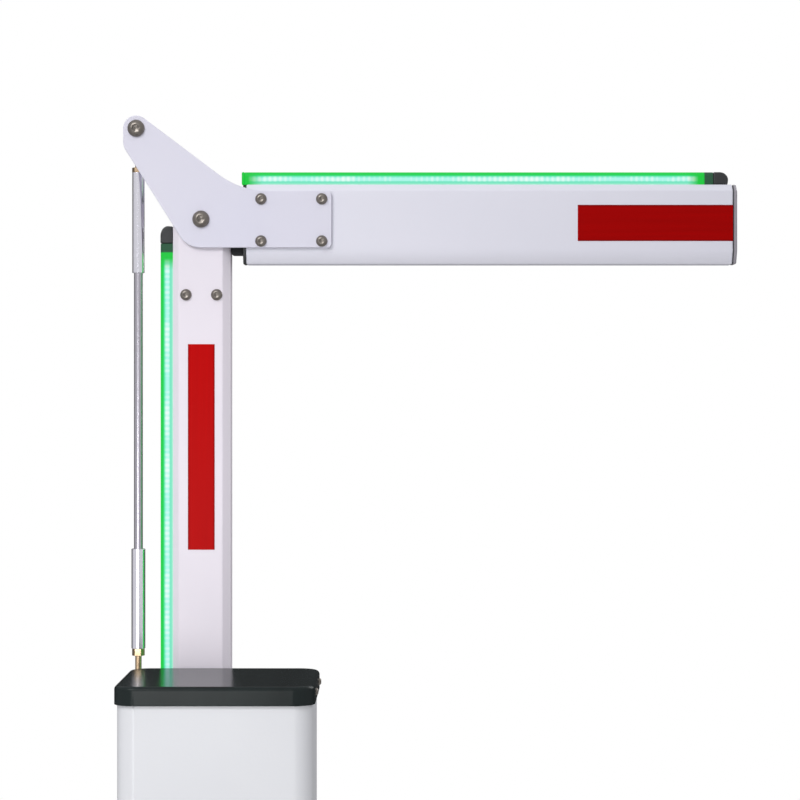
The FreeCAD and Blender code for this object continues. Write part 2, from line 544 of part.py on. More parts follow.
bolts = [button_bolt(f"bearing_bolt_{i}", "wall_bolt", "wall + bearing_flange",
                     (x, "cabinet_depth / 2", z), "Y") for i, (x, z) in enumerate(bearing_bolts)]
bolts += [button_bolt(f"bracket_bolt_{i}", "wall_bolt", "wall + bracket_plate + 4",
                      (x, "cabinet_depth / 2 + bracket_plate", z), "Y")
          for i, (x, z) in enumerate(bracket_bolts)]
node("wall_bolts", group("wall_bolt_group", bolts))

spring_front = f"({GEARBOX_FRONT} - spring_length)"
node("balance_spring", cut("spring_tube",
                           bar("spring_body", "spring_outer / 2", "spring_length - 0.3",
                               ("shaft_x", f"{spring_front} + 0.3", "shaft_height"), "Y"),
                           bar("spring_hole", "spring_bore / 2", "spring_length",
                               ("shaft_x", spring_front, "shaft_height"), "Y")))
node("control_box", extrusion(
    "control_case", "XZ",
    [frame_loop("-control_width / 2", "control_width / 2", "control_bottom",
                "control_bottom + control_height", "control_corner")],
    "control_depth", (0, INNER_REAR, 0)))

# --- rod bracket on the cabinet ----------------------------------------------------------------
BRACKET_REAR = "(cabinet_depth / 2 + bracket_plate)"
ARM_REAR = f"({BRACKET_REAR} + bracket_arm)"
EYE_FRONT = f"({BOOM_MIDDLE} - ball_width / 2)"
foot_plate = extrusion(
    "bracket_foot", "XZ",
    [frame_loop(f"{LINK_X} + bracket_near", f"{BACK_FLAT} + bracket_inset", f"{ANCHOR_HEIGHT} - bracket_drop",
                f"{ANCHOR_HEIGHT} + bracket_rise", "bracket_corner")],
    "bracket_plate", (0, BRACKET_REAR, 0),
    [(x, z, "wall_bolt / 2 + screw_clearance") for x, z in bracket_bolts])
arm_plate = extrusion(
    "bracket_arm", "XZ", [frame_loop(f"{LINK_X} - arm_left", f"{LINK_X} + arm_right",
                                     f"{ANCHOR_HEIGHT} - arm_drop", f"{ANCHOR_HEIGHT} + arm_rise",
                                     "arm_corner")],
    "bracket_arm", (0, ARM_REAR, 0), [(LINK_X, ANCHOR_HEIGHT, "pivot_bolt / 2 + pin_gap")])
node("rod_bracket", fuse("bracket_welded", foot_plate, arm_plate))
pin_head = bar("pin_shoulder_bar", "pin_shoulder", f"{EYE_FRONT} - open_gap - {ARM_REAR}",
               (LINK_X, ARM_REAR, ANCHOR_HEIGHT), "Y")
pin_shank = bar("pin_shank", "pivot_bolt / 2", f"{EYE_FRONT} + ball_width + pin_end - {BRACKET_REAR}",
                (LINK_X, BRACKET_REAR, ANCHOR_HEIGHT), "Y")
node("rod_pin", fuse("pin_whole", pin_head, pin_shank))
node("rod_pin_nut", hex_nut("pin_nut", "pivot_bolt", "0.8 * pivot_bolt",
                            (LINK_X, f"{EYE_FRONT} + ball_width + open_gap", ANCHOR_HEIGHT), "Y",
                            "pivot_bolt / 2"))

# --- shaft, hub and cradle ---------------------------------------------------------------------
HUB_FRONT = "(cabinet_depth / 2 + seal_thickness + hub_gap)"
HUB_REAR = f"({HUB_FRONT} + hub_boss + hub_flange)"
COLLAR_FRONT = f"({spring_front} - spring_gap - collar_width)"
node("main_shaft", bar("shaft", "shaft_diameter / 2", f"{HUB_REAR} - ({COLLAR_FRONT} - 2)",
                       ("shaft_x", f"{COLLAR_FRONT} - 2", "shaft_height"), "Y"))
hub = fuse("hub_blank",
           bar("hub_boss_bar", "0.66 * hub_radius", "hub_boss", ("shaft_x", HUB_FRONT, "shaft_height"), "Y"),
           bar("hub_disc", "hub_radius", "hub_flange", ("shaft_x", f"{HUB_FRONT} + hub_boss", "shaft_height"),
               "Y"))
node("boom_hub", cut("hub_bored", hub, bar("hub_bore", "shaft_diameter / 2", "drill_run",
                                           ("shaft_x", f"{HUB_FRONT} - drill_start", "shaft_height"), "Y")))
node("spring_collar", cut("collar_ring",
                          bar("collar_disc", "collar_radius", "collar_width",
                              ("shaft_x", COLLAR_FRONT, "shaft_height"), "Y"),
                          bar("collar_bore", "shaft_diameter / 2", "collar_width",
                              ("shaft_x", COLLAR_FRONT, "shaft_height"), "Y")))

CRADLE_FRONT = f"({LOWER_FRONT} - cradle_web)"
cradle_loop = [
    ("-lower_width / 2 - cradle_gap - cradle_side", "0", "3"),
    ("lower_width / 2 + cradle_gap + cradle_side", "0", "3"),
    ("lower_width / 2 + cradle_gap + cradle_side", "cradle_web + boom_depth - cradle_lip", None),
    ("lower_width / 2 + cradle_gap", "cradle_web + boom_depth - cradle_lip", None),
    ("lower_width / 2 + cradle_gap", "cradle_web", None),
    ("-lower_width / 2 - cradle_gap", "cradle_web", None),
    ("-lower_width / 2 - cradle_gap", "cradle_web + boom_depth - cradle_lip", None),
    ("-lower_width / 2 - cradle_gap - cradle_side", "cradle_web + boom_depth - cradle_lip", None),
]
cradle_bolts = [(f"shaft_x + {i} * cradle_bolt_pitch / 2", f"shaft_height + {z}")
                for i in (-1, 1) for z in ("cradle_bolt_up", "(-cradle_bolt_down)")]


def through(name, radius, spots, front, length):
    """Round tools along Y at spots of (x, z)."""
    return [bar(f"{name}_{i}", radius, length, (x, front, z), "Y") for i, (x, z) in enumerate(spots)]


cradle = extrusion("cradle_channel", "XY", [cradle_loop], "cradle_up + cradle_down",
                   ("shaft_x", CRADLE_FRONT, "shaft_height - cradle_down"))
node("boom_cradle", cut("cradle_tapped", cradle, *through("cradle_tap", "cradle_bolt / 2", cradle_bolts,
                                                           f"{CRADLE_FRONT} + 1", "cradle_web")))
node("clamp_plate", extrusion(
    "clamp", "XZ", [frame_loop("-lower_width / 2 - cradle_side", "lower_width / 2 + cradle_side",
                               "-cradle_down", "cradle_up", "4")],
    "clamp_thickness", ("shaft_x", f"{LOWER_REAR} + clamp_thickness", "shaft_height"),
    [(f"{i} * cradle_bolt_pitch / 2", z, "cradle_bolt / 2 + screw_clearance")
     for i in (-1, 1) for z in ("cradle_bolt_up", "-cradle_bolt_down")]))
node("cradle_bolts", group("cradle_bolt_group", [
    button_bolt(f"cradle_bolt_{i}", "cradle_bolt", f"{LOWER_REAR} + clamp_thickness - {CRADLE_FRONT} - 1",
                (x, f"{LOWER_REAR} + clamp_thickness", z), "Y") for i, (x, z) in enumerate(cradle_bolts)]))

# --- lower boom --------------------------------------------------------------------------------
LOWER_START = "(shaft_height - lower_foot)"
LOWER_END = f"({PIVOT_HEIGHT} + lower_head)"
LOWER_DEPTH = "(boom_depth - 2 * plate_gap)"


def lower_loop(inset):
    return boom_loop("-lower_width / 2", "lower_width / 2", "chamfer_left", "chamfer_right", LOWER_DEPTH,
                     inset, False)


insert_spots = [(f"shaft_x + {i} * insert_bolt_pitch / 2", f"{PIVOT_HEIGHT} - insert_bolt_drop")
                for i in (-1, 1)]
pivot_spot = [("shaft_x", PIVOT_HEIGHT)]
lower_tube = extrusion("lower_tube", "XY", [lower_loop("0"), lower_loop("boom_wall")],
                       f"{LOWER_END} - {LOWER_START}", ("shaft_x", BOOM_MIDDLE, LOWER_START))
node("lower_boom", cut(
    "lower_drilled", lower_tube,
    *through("lower_cradle_hole", "cradle_bolt / 2 + screw_clearance", cradle_bolts,
             f"{LOWER_FRONT} - drill_start", "drill_run"),
    *through("lower_insert_hole", "insert_bolt / 2 + screw_clearance", insert_spots,
             f"{LOWER_FRONT} - drill_start", "drill_run"),
    *through("lower_pivot_hole", "bush_radius", pivot_spot, f"{LOWER_FRONT} - drill_start", "drill_run")))
end_caps = [extrusion(f"lower_cap_{end}", "XY", [lower_loop("0.3")], "cap_thickness",
                      ("shaft_x", BOOM_MIDDLE, start))
            for end, start in (("top", LOWER_END), ("foot", f"{LOWER_START} - cap_thickness"))]
node("lower_boom_caps", group("lower_cap_group", end_caps))
insert = block("insert_block",
               ("shaft_x - insert_width / 2", f"{LOWER_FRONT} + boom_wall", f"{PIVOT_HEIGHT} - insert_down"),
               ("shaft_x + insert_width / 2", f"{LOWER_REAR} - boom_wall", f"{PIVOT_HEIGHT} + insert_up"))
node("hinge_insert", cut(
    "insert_drilled", insert,
    *through("insert_pivot_hole", "bush_radius", pivot_spot, f"{LOWER_FRONT} - drill_start", "drill_run"),
    *through("insert_bolt_hole", "insert_bolt / 2", insert_spots, f"{LOWER_FRONT} - drill_start", "drill_run")))
bushes = []
for end, start, axis in (("front", f"{LOWER_FRONT} - bush_flange", "Y"),
                         ("rear", f"{LOWER_REAR} + bush_flange", "-Y")):
    spot = ("shaft_x", start, PIVOT_HEIGHT)
    bushes.append(cut(
        f"bush_{end}", fuse(f"bush_blank_{end}", bar(f"bush_flange_{end}", "bush_flange_radius", "bush_flange",
                                                     spot, axis),
                            bar(f"bush_sleeve_{end}", "bush_radius", f"{LOWER_DEPTH} / 2 + bush_flange - 1",
                                spot, axis)),
        bar(f"bush_bore_{end}", "pivot_bolt / 2 + running_gap", "40", spot, axis)))
node("pivot_bushes", group("bush_group", bushes))
insert_bolts = []
for i, (x, z) in enumerate(insert_spots):
    for end, start, axis in (("front", LOWER_FRONT, "-Y"), ("rear", LOWER_REAR, "Y")):
        insert_bolts.append(button_bolt(f"insert_bolt_{end}_{i}", "insert_bolt", "16", (x, start, z), axis))
node("insert_bolts", group("insert_bolt_group", insert_bolts))

# --- upper boom --------------------------------------------------------------------------------
UPPER_X = "(shaft_x + upper_start)"
UPPER_END = f"({UPPER_X} + upper_length)"


def upper_loop(inset):
    return boom_loop("-upper_drop", "upper_top", "chamfer_bottom", "chamfer_top", "boom_depth", inset, True)


plate_spots = [(f"shaft_x + {x}", f"{PIVOT_HEIGHT} + {z}")
               for x in ("plate_bolt_near", "plate_bolt_far") for z in ("plate_bolt_up", "(-plate_bolt_down)")]
upper_tube = extrusion("upper_tube", "YZ", [upper_loop("0"), upper_loop("boom_wall")], "upper_length",
                       (UPPER_X, BOOM_MIDDLE, PIVOT_HEIGHT))
node("upper_boom", cut("upper_drilled", upper_tube,
                       *through("upper_bolt_hole", "plate_bolt / 2 + screw_clearance", plate_spots,
                                f"{UPPER_FRONT} - drill_start", "drill_run")))
node("upper_inner_cap", extrusion("upper_cap_inner", "YZ", [upper_loop("0.3")], "inner_cap",
                                  (f"{UPPER_X} - inner_cap", BOOM_MIDDLE, PIVOT_HEIGHT)))
node("upper_outer_cap", extrusion("upper_cap_outer", "YZ", [upper_loop("0.3")], "outer_cap",
                                  (UPPER_END, BOOM_MIDDLE, PIVOT_HEIGHT)))
node("fold_stop", block("stop_block", ("shaft_x + stop_near", f"{UPPER_FRONT} + stop_inset",
                                       f"{PIVOT_HEIGHT} - stop_down"),
                        (f"{UPPER_X} - inner_cap", f"{UPPER_REAR} - stop_inset", f"{PIVOT_HEIGHT} - stop_up")))

# --- hinge plates ------------------------------------------------------------------------------
slope = "(tip_slope * 1 deg)"
plate_loop = [
    ("plate_reach", "-plate_half", "plate_corner"), ("plate_reach", "plate_half", "plate_corner"),
    (f"(tip_radius - (plate_half - link_rise) * cos{slope}) / sin{slope} - link_left", "plate_half",
     "throat_radius"),
    ("-link_left - tip_radius", f"link_rise + tip_radius * (1 + sin{slope}) / cos{slope}", "tip_radius"),
    ("-link_left - tip_radius", "link_rise - plate_elbow_drop", "20"),
    ("-plate_heel", "-plate_half", "heel_radius"),
]
plate_holes = [("0", "0", "pivot_bolt / 2 + 0.1"), ("-link_left", "link_rise", "pivot_bolt / 2 + 0.1")]
plate_holes += [(x, z, "plate_bolt / 2 + screw_clearance")
                for x in ("plate_bolt_near", "plate_bolt_far") for z in ("plate_bolt_up", "-plate_bolt_down")]
for label, rear in (("front_hinge_plate", UPPER_FRONT),
                    ("rear_hinge_plate", f"{UPPER_REAR} + plate_thickness")):
    node(label, extrusion(label, "XZ", [plate_loop], "plate_thickness", ("shaft_x", rear, PIVOT_HEIGHT),
                          plate_holes))
SEAT_FRONT = f"({UPPER_FRONT} - plate_thickness)"
SEAT_REAR = f"({UPPER_REAR} + plate_thickness)"
GRIP = "boom_depth + 2 * plate_thickness"
node("plate_bolts", group("plate_bolt_group", [
    button_bolt(f"plate_bolt_{i}", "plate_bolt", f"{GRIP} + plate_bolt", (x, SEAT_FRONT, z), "-Y")
    for i, (x, z) in enumerate(plate_spots)]))
node("plate_nuts", group("plate_nut_group", [
    hex_nut(f"plate_nut_{i}", "plate_bolt", "0.8 * plate_bolt", (x, SEAT_REAR, z), "Y", "plate_bolt / 2")
    for i, (x, z) in enumerate(plate_spots)]))
hinge_spots = [("shaft_x", PIVOT_HEIGHT), (LINK_X, LINK_HEIGHT)]
node("hinge_bolts", group("hinge_bolt_group", [
    button_bolt(f"hinge_bolt_{i}", "pivot_bolt", f"{GRIP} + pivot_bolt", (x, SEAT_FRONT, z), "-Y")
    for i, (x, z) in enumerate(hinge_spots)]))
node("hinge_nuts", group("hinge_nut_group", [
    hex_nut(f"hinge_nut_{i}", "pivot_bolt", "0.8 * pivot_bolt", (x, SEAT_REAR, z), "Y", "pivot_bolt / 2")
    for i, (x, z) in enumerate(hinge_spots)]))
spacers = []
for end, start in (("front", UPPER_FRONT), ("rear", f"{UPPER_REAR} - (boom_depth - ball_width) / 2 + 0.3")):
    spot = (LINK_X, start, LINK_HEIGHT)
    length = "(boom_depth - ball_width) / 2 - 0.3"
    spacers.append(cut(f"spacer_{end}", bar(f"spacer_bar_{end}", "0.72 * pivot_bolt", length, spot, "Y"),
                       bar(f"spacer_bore_{end}", "pivot_bolt / 2 + 0.1", length, spot, "Y")))
node("link_spacers", group("spacer_group", spacers))


# --- LED strips: board, lens tube and end caps -------------------------------------------------
def led_loop(inset, turned):
    """The lens tube's section, standing off the boom by led_proud, with its outer corners rounded."""
    half = f"led_width / 2 - ({inset})"
    near, far, bend = f"({inset})", f"led_proud - ({inset})", f"5 - ({inset})"
    if turned:
        return [(f"-({far})", f"-({half})", bend), (f"-({near})", f"-({half})", None),
                (f"-({near})", half, None), (f"-({far})", half, bend)]
    return [(f"-({half})", near, None), (half, near, None), (half, far, bend), (f"-({half})", far, bend)]


def board_loop(turned):
    low, high = "led_wall", "led_wall + led_board"
    if turned:
        return frame_loop(f"-({high})", f"-({low})", "-led_width / 2 + 3", "led_width / 2 - 3")
    return frame_loop("-led_width / 2 + 3", "led_width / 2 - 3", low, high)


def led_strip(prefix, plane, turned, spot, along, start, end, cap_first, cap_last):
    """A strip from start to end along one axis, with its caps outside both ends."""
    def at(text):
        moved = list(spot)
        moved[along] = text
        return tuple(moved)
    tube = [led_loop("0", turned), led_loop("led_wall", turned)]
    node(prefix + "_led_lens", extrusion(prefix + "_lens", plane, tube, f"{end} - ({start})", at(start)))
    node(prefix + "_led_board", extrusion(prefix + "_board", plane, [board_loop(turned)],
                                          f"{end} - ({start}) - 2", at(f"{start} + 1")))
    caps = [extrusion(f"{prefix}_led_cap_first", plane, [led_loop("0", turned)], cap_first,
                      at(f"{start} - ({cap_first})")),
            extrusion(f"{prefix}_led_cap_last", plane, [led_loop("0", turned)], cap_last, at(end))]
    node(prefix + "_led_caps", group(prefix + "_led_cap_group", caps))


led_strip("lower", "XY", True, ("shaft_x - lower_width / 2", BOOM_MIDDLE, 0), 2,
          "(shaft_height + lower_led_foot)", f"({PIVOT_HEIGHT} - lower_led_top)", "led_tail_cap",
          "led_cap_length")
led_strip("upper", "YZ", False, (0, BOOM_MIDDLE, f"{PIVOT_HEIGHT} + upper_top"), 0,
          "(shaft_x + upper_led_start)", "(shaft_x + upper_led_end)", "led_tail_cap", "led_cap_length - 3")


# --- reflective tapes --------------------------------------------------------------------------
def tape_pair(name, x0, x1, z0, z1, front, rear):
    """One strip on the front face and one on the rear face of a boom."""
    return group(name, [
        block(name + "_front", (x0, f"{front} - tape_thickness", z0), (x1, front, z1)),
        block(name + "_rear", (x0, rear, z0), (x1, f"{rear} + tape_thickness", z1))])


node("lower_tapes", tape_pair(
    "lower_tape", "shaft_x - lower_tape_width / 2", "shaft_x + lower_tape_width / 2",
    f"{PIVOT_HEIGHT} - lower_tape_top - lower_tape_length", f"{PIVOT_HEIGHT} - lower_tape_top", LOWER_FRONT,
    LOWER_REAR))
node("upper_tapes", tape_pair(
    "upper_tape", "shaft_x + upper_tape_start", UPPER_END, f"{PIVOT_HEIGHT} - upper_tape_down",
    f"{PIVOT_HEIGHT} + upper_tape_up", UPPER_FRONT, UPPER_REAR))


# --- push rod ----------------------------------------------------------------------------------
def rod_bar(name, radius, low, high, shape=bar):
    """A length of the rod between two heights below or above the elbow pivot."""
    return shape(name, radius, f"({high}) - ({low})", (LINK_X, BOOM_MIDDLE, f"{PIVOT_HEIGHT} + {low}"))


EYE_TOP = "link_rise - eye_radius + 2"
EYE_FOOT = "(-arm_length + link_rise + eye_radius - 2)"
node("rod_tube", rod_bar("tube", "rod_radius", "-rod_down - sleeve_plug", "-rod_up + sleeve_plug"))
sleeves = []
for end, radius, low, high in (("top", "upper_sleeve_radius", "-rod_up", "upper_sleeve_top"),
                               ("foot", "lower_sleeve_radius", "-lower_sleeve_foot", "-rod_down")):
    inner = (low, f"{low} + sleeve_plug") if end == "top" else (f"{high} - sleeve_plug", high)
    stud = (f"{high} - stud_run", high) if end == "top" else (low, f"{low} + stud_run")
    sleeves.append(cut(f"sleeve_{end}", rod_bar(f"sleeve_bar_{end}", radius, low, high),
                       rod_bar(f"sleeve_bore_{end}", "rod_radius", *inner),
                       rod_bar(f"sleeve_tap_{end}", "rod_stud", *stud)))
node("rod_sleeves", group("sleeve_group", sleeves))
nuts = []
for end, low, high in (("top", "upper_sleeve_top", "upper_sleeve_top + upper_rod_nut"),
                       ("foot", "-lower_sleeve_foot - lower_rod_nut", "-lower_sleeve_foot")):
    nuts.append(cut(f"jam_nut_{end}", rod_bar(f"jam_nut_bar_{end}", "rod_nut", low, high, hexagon),
                    rod_bar(f"jam_nut_bore_{end}", "rod_stud", low, high)))
node("rod_nuts", group("jam_nut_group", nuts))
eyes, balls = [], []
for end, height, low, high, bore in (
        ("top", LINK_HEIGHT, "upper_sleeve_top - stud_run", EYE_TOP, "pivot_bolt / 2 + open_gap"),
        ("foot", ANCHOR_HEIGHT, EYE_FOOT, "-lower_sleeve_foot + stud_run", "pivot_bolt / 2 + running_gap")):
    ring = bar(f"eye_ring_{end}", "eye_radius", "eye_width",
               (LINK_X, f"{BOOM_MIDDLE} - eye_width / 2", height), "Y")
    whole = fuse(f"eye_blank_{end}", ring, rod_bar(f"eye_stud_{end}", "rod_stud", low, high))
    eyes.append(cut(f"eye_{end}", whole, bar(f"eye_bore_{end}", "ball_radius + pin_gap", "drill_run",
                                             (LINK_X, f"{BOOM_MIDDLE} - drill_run / 2", height), "Y")))
    sphere = doc.addObject("Part::Sphere", f"ball_sphere_{end}")
    bind(sphere, Radius="ball_radius")
    place(sphere, (LINK_X, BOOM_MIDDLE, height), "Y")
    slab = bar(f"ball_slab_{end}", "ball_radius + 1", "ball_width", (LINK_X, EYE_FRONT, height), "Y")
    common = doc.addObject("Part::MultiCommon", f"ball_blank_{end}")
    common.Shapes = [sphere, slab]
    balls.append(cut(f"ball_{end}", common, bar(f"ball_bore_{end}", bore, "drill_run",
                                                (LINK_X, f"{BOOM_MIDDLE} - drill_run / 2", height), "Y")))
node("rod_ends", group("eye_group", eyes))
node("rod_balls", group("ball_group", balls))

# --- check every object, then write each sub-part ----------------------------------------------
doc.recompute()
faults = [f"{thing.Name}: {state}" for thing in doc.Objects for state in thing.State
          if state in ("Invalid", "Error")]
for label, thing in nodes.items():
    shape = thing.Shape
    if shape.isNull() or not shape.isValid() or not shape.Solids:
        faults.append(f"{label}: no valid solid")
if faults:
    raise RuntimeError("; ".join(faults))
os.makedirs("parts", exist_ok=True)
for label, thing in nodes.items():
    thing.Shape.exportStep(f"parts/{label}.step")
    box = thing.Shape.BoundBox
    print(f"{label:20s} solids {len(thing.Shape.Solids)} volume {thing.Shape.Volume / 1000:9.1f} cm3 "
          f"x {box.XMin:.1f} {box.XMax:.1f} y {box.YMin:.1f} {box.YMax:.1f} z {box.ZMin:.1f} {box.ZMax:.1f}")
print(len(nodes), "nodes")
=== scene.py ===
import math

import bmesh
import bpy
from mathutils import Matrix, Vector


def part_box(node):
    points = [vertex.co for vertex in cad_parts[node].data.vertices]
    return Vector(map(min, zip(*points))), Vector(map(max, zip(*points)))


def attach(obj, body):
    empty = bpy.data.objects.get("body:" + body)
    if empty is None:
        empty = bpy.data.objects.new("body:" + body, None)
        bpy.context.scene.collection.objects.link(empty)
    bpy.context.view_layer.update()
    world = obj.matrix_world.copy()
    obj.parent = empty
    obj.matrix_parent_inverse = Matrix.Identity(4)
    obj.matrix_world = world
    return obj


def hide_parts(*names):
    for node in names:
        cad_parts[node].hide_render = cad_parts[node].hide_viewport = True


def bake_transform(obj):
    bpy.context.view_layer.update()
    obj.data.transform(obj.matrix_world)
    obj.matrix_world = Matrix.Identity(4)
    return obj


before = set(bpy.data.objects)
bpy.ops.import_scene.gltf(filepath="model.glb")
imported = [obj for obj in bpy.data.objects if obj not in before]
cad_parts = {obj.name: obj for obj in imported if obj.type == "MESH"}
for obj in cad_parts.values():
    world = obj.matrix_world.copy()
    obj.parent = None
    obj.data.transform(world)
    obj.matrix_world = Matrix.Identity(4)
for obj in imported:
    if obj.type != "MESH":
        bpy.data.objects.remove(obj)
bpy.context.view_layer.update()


# ---- Base frame -----------------------------------------------------------------------------
# The foot that the gate stands on: 5 mm steel strip, folded, welded at the corners and bolted
# to the traffic island. It is powder coated with the cabinet, and road dust settles on it.

def linear(code):
    """A colour written as sRGB hex, turned to linear light."""
    shares = [int(code[start:start + 2], 16) / 255 for start in (0, 2, 4)]
    return tuple(s / 12.92 if s <= 0.04045 else ((s + 0.055) / 1.055) ** 2.4 for s in shares) + (1.0,)


def add_node(tree, kind, settings=None, links=None):
    """Adds a node, sets its settings and inputs, and links its inputs. A link that names a node and
    not a socket takes the node's first output."""
    node = tree.nodes.new(kind)
    for key, value in (settings or {}).items():
        if isinstance(key, str) and hasattr(node, key):
            setattr(node, key, value)
        else:
            node.inputs[key].default_value = value
    for key, source in (links or {}).items():
        tree.links.new(getattr(source, "outputs", [source])[0], node.inputs[key])
    return node


def blank_finish(name):
    """A material with an empty tree, and its own place coordinates."""
    material = bpy.data.materials.new(name)
    material.use_nodes = True
    material.node_tree.nodes.clear()
    place = add_node(material.node_tree, "ShaderNodeTexCoord").outputs["Object"]
    return material, material.node_tree, place


def end_finish(tree, tone, relief, strength, depth, settings, rough=None):
    """Ends a finish with its tone, its relief, its settings and rough, a (share, lowest, highest) triple."""
    bump = add_node(tree, "ShaderNodeBump", {"Strength": strength, "Distance": depth}, {"Height": relief})
    links = {"Base Color": tone, "Normal": bump}
    if rough:
        share, lowest, highest = rough
        links["Roughness"] = add_node(tree, "ShaderNodeMapRange", {"To Min": lowest, "To Max": highest},
                                      {0: share})
    shader = add_node(tree, "ShaderNodeBsdfPrincipled", settings, links)
    add_node(tree, "ShaderNodeOutputMaterial", links={0: shader})


def powder_coat(name, colour, drift, roughness, peel, dust=None):
    """Polyester powder baked on metal: an even satin skin with orange peel and a slow drift of tone.
    Real peel is 1 to 3 mm wide, so peel is given a little coarser where it has to show."""
    material, tree, place = blank_finish(name)
    slow = add_node(tree, "ShaderNodeTexNoise", {"Scale": 1 / 0.16, "Detail": 2.0}, {"Vector": place})
    paint = add_node(tree, "ShaderNodeMix", {"data_type": "RGBA", 6: linear(colour), 7: linear(drift)},
                     {0: slow})
    if dust:
        height = add_node(tree, "ShaderNodeSeparateXYZ", links={0: place})
        splash = add_node(tree, "ShaderNodeTexNoise", {"Scale": 1 / 0.03, "Detail": 6.0, "Roughness": 0.7},
                          {"Vector": place})
        reach = add_node(tree, "ShaderNodeMapRange", {"From Min": 0.0, "From Max": 0.30, "To Min": 0.75,
                                                      "To Max": 0.0}, {0: height.outputs[2]})
        amount = add_node(tree, "ShaderNodeMath", {"operation": "MULTIPLY"}, {0: reach, 1: splash})
        paint = add_node(tree, "ShaderNodeMix", {"data_type": "RGBA", 7: linear(dust)},
                         {0: amount, 6: paint.outputs[2]})
    skin = add_node(tree, "ShaderNodeTexNoise", {"Scale": 1 / peel, "Detail": 3.0}, {"Vector": place})
    end_finish(tree, paint.outputs[2], skin, 0.25, 0.0003, {"IOR": 1.5},
               (slow, roughness - 0.06, roughness + 0.06))
    return material


def shown(name, data):
    """An object of this data in the scene."""
    piece = bpy.data.objects.new(name, data)
    bpy.context.scene.collection.objects.link(piece)
    return piece


def copied(*names):
    """The mesh of these CAD nodes, with its corners joined and each flat face made whole."""
    shape = bmesh.new()
    for name in names:
        shape.from_mesh(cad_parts[name].data)
    bmesh.ops.remove_doubles(shape, verts=shape.verts, dist=2e-5)
    bmesh.ops.dissolve_limit(shape, angle_limit=math.radians(0.5), use_dissolve_boundaries=False,
                             verts=shape.verts, edges=shape.edges)
    return shape


def soften(shape, width, shortest=0.0, corner=35, steps=2):
    """Rounds the edges that turn more than corner degrees and are at least this long."""
    sharp = [edge for edge in shape.edges if len(edge.link_faces) == 2
             and edge.calc_face_angle(0) > math.radians(corner) and edge.calc_length() >= shortest]
    bmesh.ops.bevel(shape, geom=sharp, offset=width, offset_type="OFFSET", segments=steps, profile=0.5,
                    affect="EDGES", clamp_overlap=False)
    return shape


def finished(shape, name, body, finish, nodes=()):
    """Turns the mesh into a finished piece that rides on its body and stands for its CAD nodes."""
    mesh = bpy.data.meshes.new(name)
    shape.to_mesh(mesh)
    shape.free()
    mesh.polygons.foreach_set("use_smooth", [True] * len(mesh.polygons))
    mesh.set_sharp_from_angle(angle=math.radians(38))
    piece = shown(name, mesh)
    piece.modifiers.new("even shading", "WEIGHTED_NORMAL").keep_sharp = True
    graph = bpy.context.evaluated_depsgraph_get()
    piece.data = bpy.data.meshes.new_from_object(piece.evaluated_get(graph))
    piece.modifiers.clear()
    bpy.data.meshes.remove(mesh)
    piece.data.name = name
    piece.data.materials.clear()
    piece.data.materials.append(finish)
    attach(piece, body)
    if nodes:
        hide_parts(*nodes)
    return piece


def dressed(node, name, body, finish, slot, edge, **choice):
    """A CAD node's copy as a finished piece, with its edges rounded over by edge."""
    return finished(soften(copied(node), edge, **choice), name, body, finish, [node])


CABINET_COAT = powder_coat("pale_powder_coat", "DCDDE0", "D5D6DA", 0.42, 0.004, dust="9F978B")
dressed("base_frame", "foot_frame", "cabinet", CABINET_COAT, "cabinet_white", edge=0.0008, shortest=0.006)


# ---- Cabinet shell --------------------------------------------------------------------------
# The housing: 2 mm sheet steel, laser cut, folded and welded up the back, with a doorway in
# the front and a slot at the top for the drive. Powder coated pale grey-white inside and out.

dressed("cabinet_body", "housing_shell", "cabinet", CABINET_COAT, "cabinet_white", edge=0.0006,
        shortest=0.008)


# ---- Side vents -----------------------------------------------------------------------------
# A louvred plate of moulded plastic pressed into each side, so that the drive can cool. Rain
# runs off its slats. Moulded ABS has a fine spark-eroded grain and a soft sheen.

def moulded_plastic(name, colour, drift, roughness):
    """Injection moulded plastic with the spark-eroded grain of its tool. Real grain is 0.1 to 0.3 mm,
    so it is drawn near 1 mm to show."""
    material, tree, place = blank_finish(name)
    slow = add_node(tree, "ShaderNodeTexNoise", {"Scale": 1 / 0.03, "Detail": 2.0}, {"Vector": place})
    fine = add_node(tree, "ShaderNodeTexNoise", {"Scale": 1 / 0.0012, "Detail": 4.0}, {"Vector": place})
    dye = add_node(tree, "ShaderNodeMix", {"data_type": "RGBA", 6: linear(colour), 7: linear(drift)},
                   {0: slow})
    end_finish(tree, dye.outputs[2], fine, 0.3, 0.0002, {"IOR": 1.53},
               (fine, roughness - 0.08, roughness + 0.08))
    return material


def islands(name):
    """The low and high corners of each separate solid of a CAD node."""
    shape = bmesh.new()
    shape.from_mesh(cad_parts[name].data)
    bmesh.ops.remove_doubles(shape, verts=shape.verts, dist=2e-5)
    waiting, boxes = set(shape.verts), []
    while waiting:
        reached, front = set(), [waiting.pop()]
        while front:
            corner = front.pop()
            reached.add(corner)
            for edge in corner.link_edges:
                other = edge.other_vert(corner)
                if other in waiting:
                    waiting.discard(other)
                    front.append(other)
        places = [corner.co for corner in reached]
        boxes.append((Vector(min(p[i] for p in places) for i in range(3)),
                      Vector(max(p[i] for p in places) for i in range(3))))
    shape.free()
    return sorted(boxes, key=lambda box: tuple(round(v, 4) for v in box[0]))


def bridged(rings):
    """A closed shape through rings of points, filled at its first and last rings."""
    shape = bmesh.new()
    loops = [[shape.verts.new(point) for point in ring] for ring in rings]
    for inner, outer in zip(loops, loops[1:]):
        for here in range(len(inner)):
            there = (here + 1) % len(inner)
            shape.faces.new((inner[here], inner[there], outer[there], outer[here]))
    shape.faces.new(loops[0])
    shape.faces.new(loops[-1])
    bmesh.ops.recalc_face_normals(shape, faces=shape.faces)
    return shape


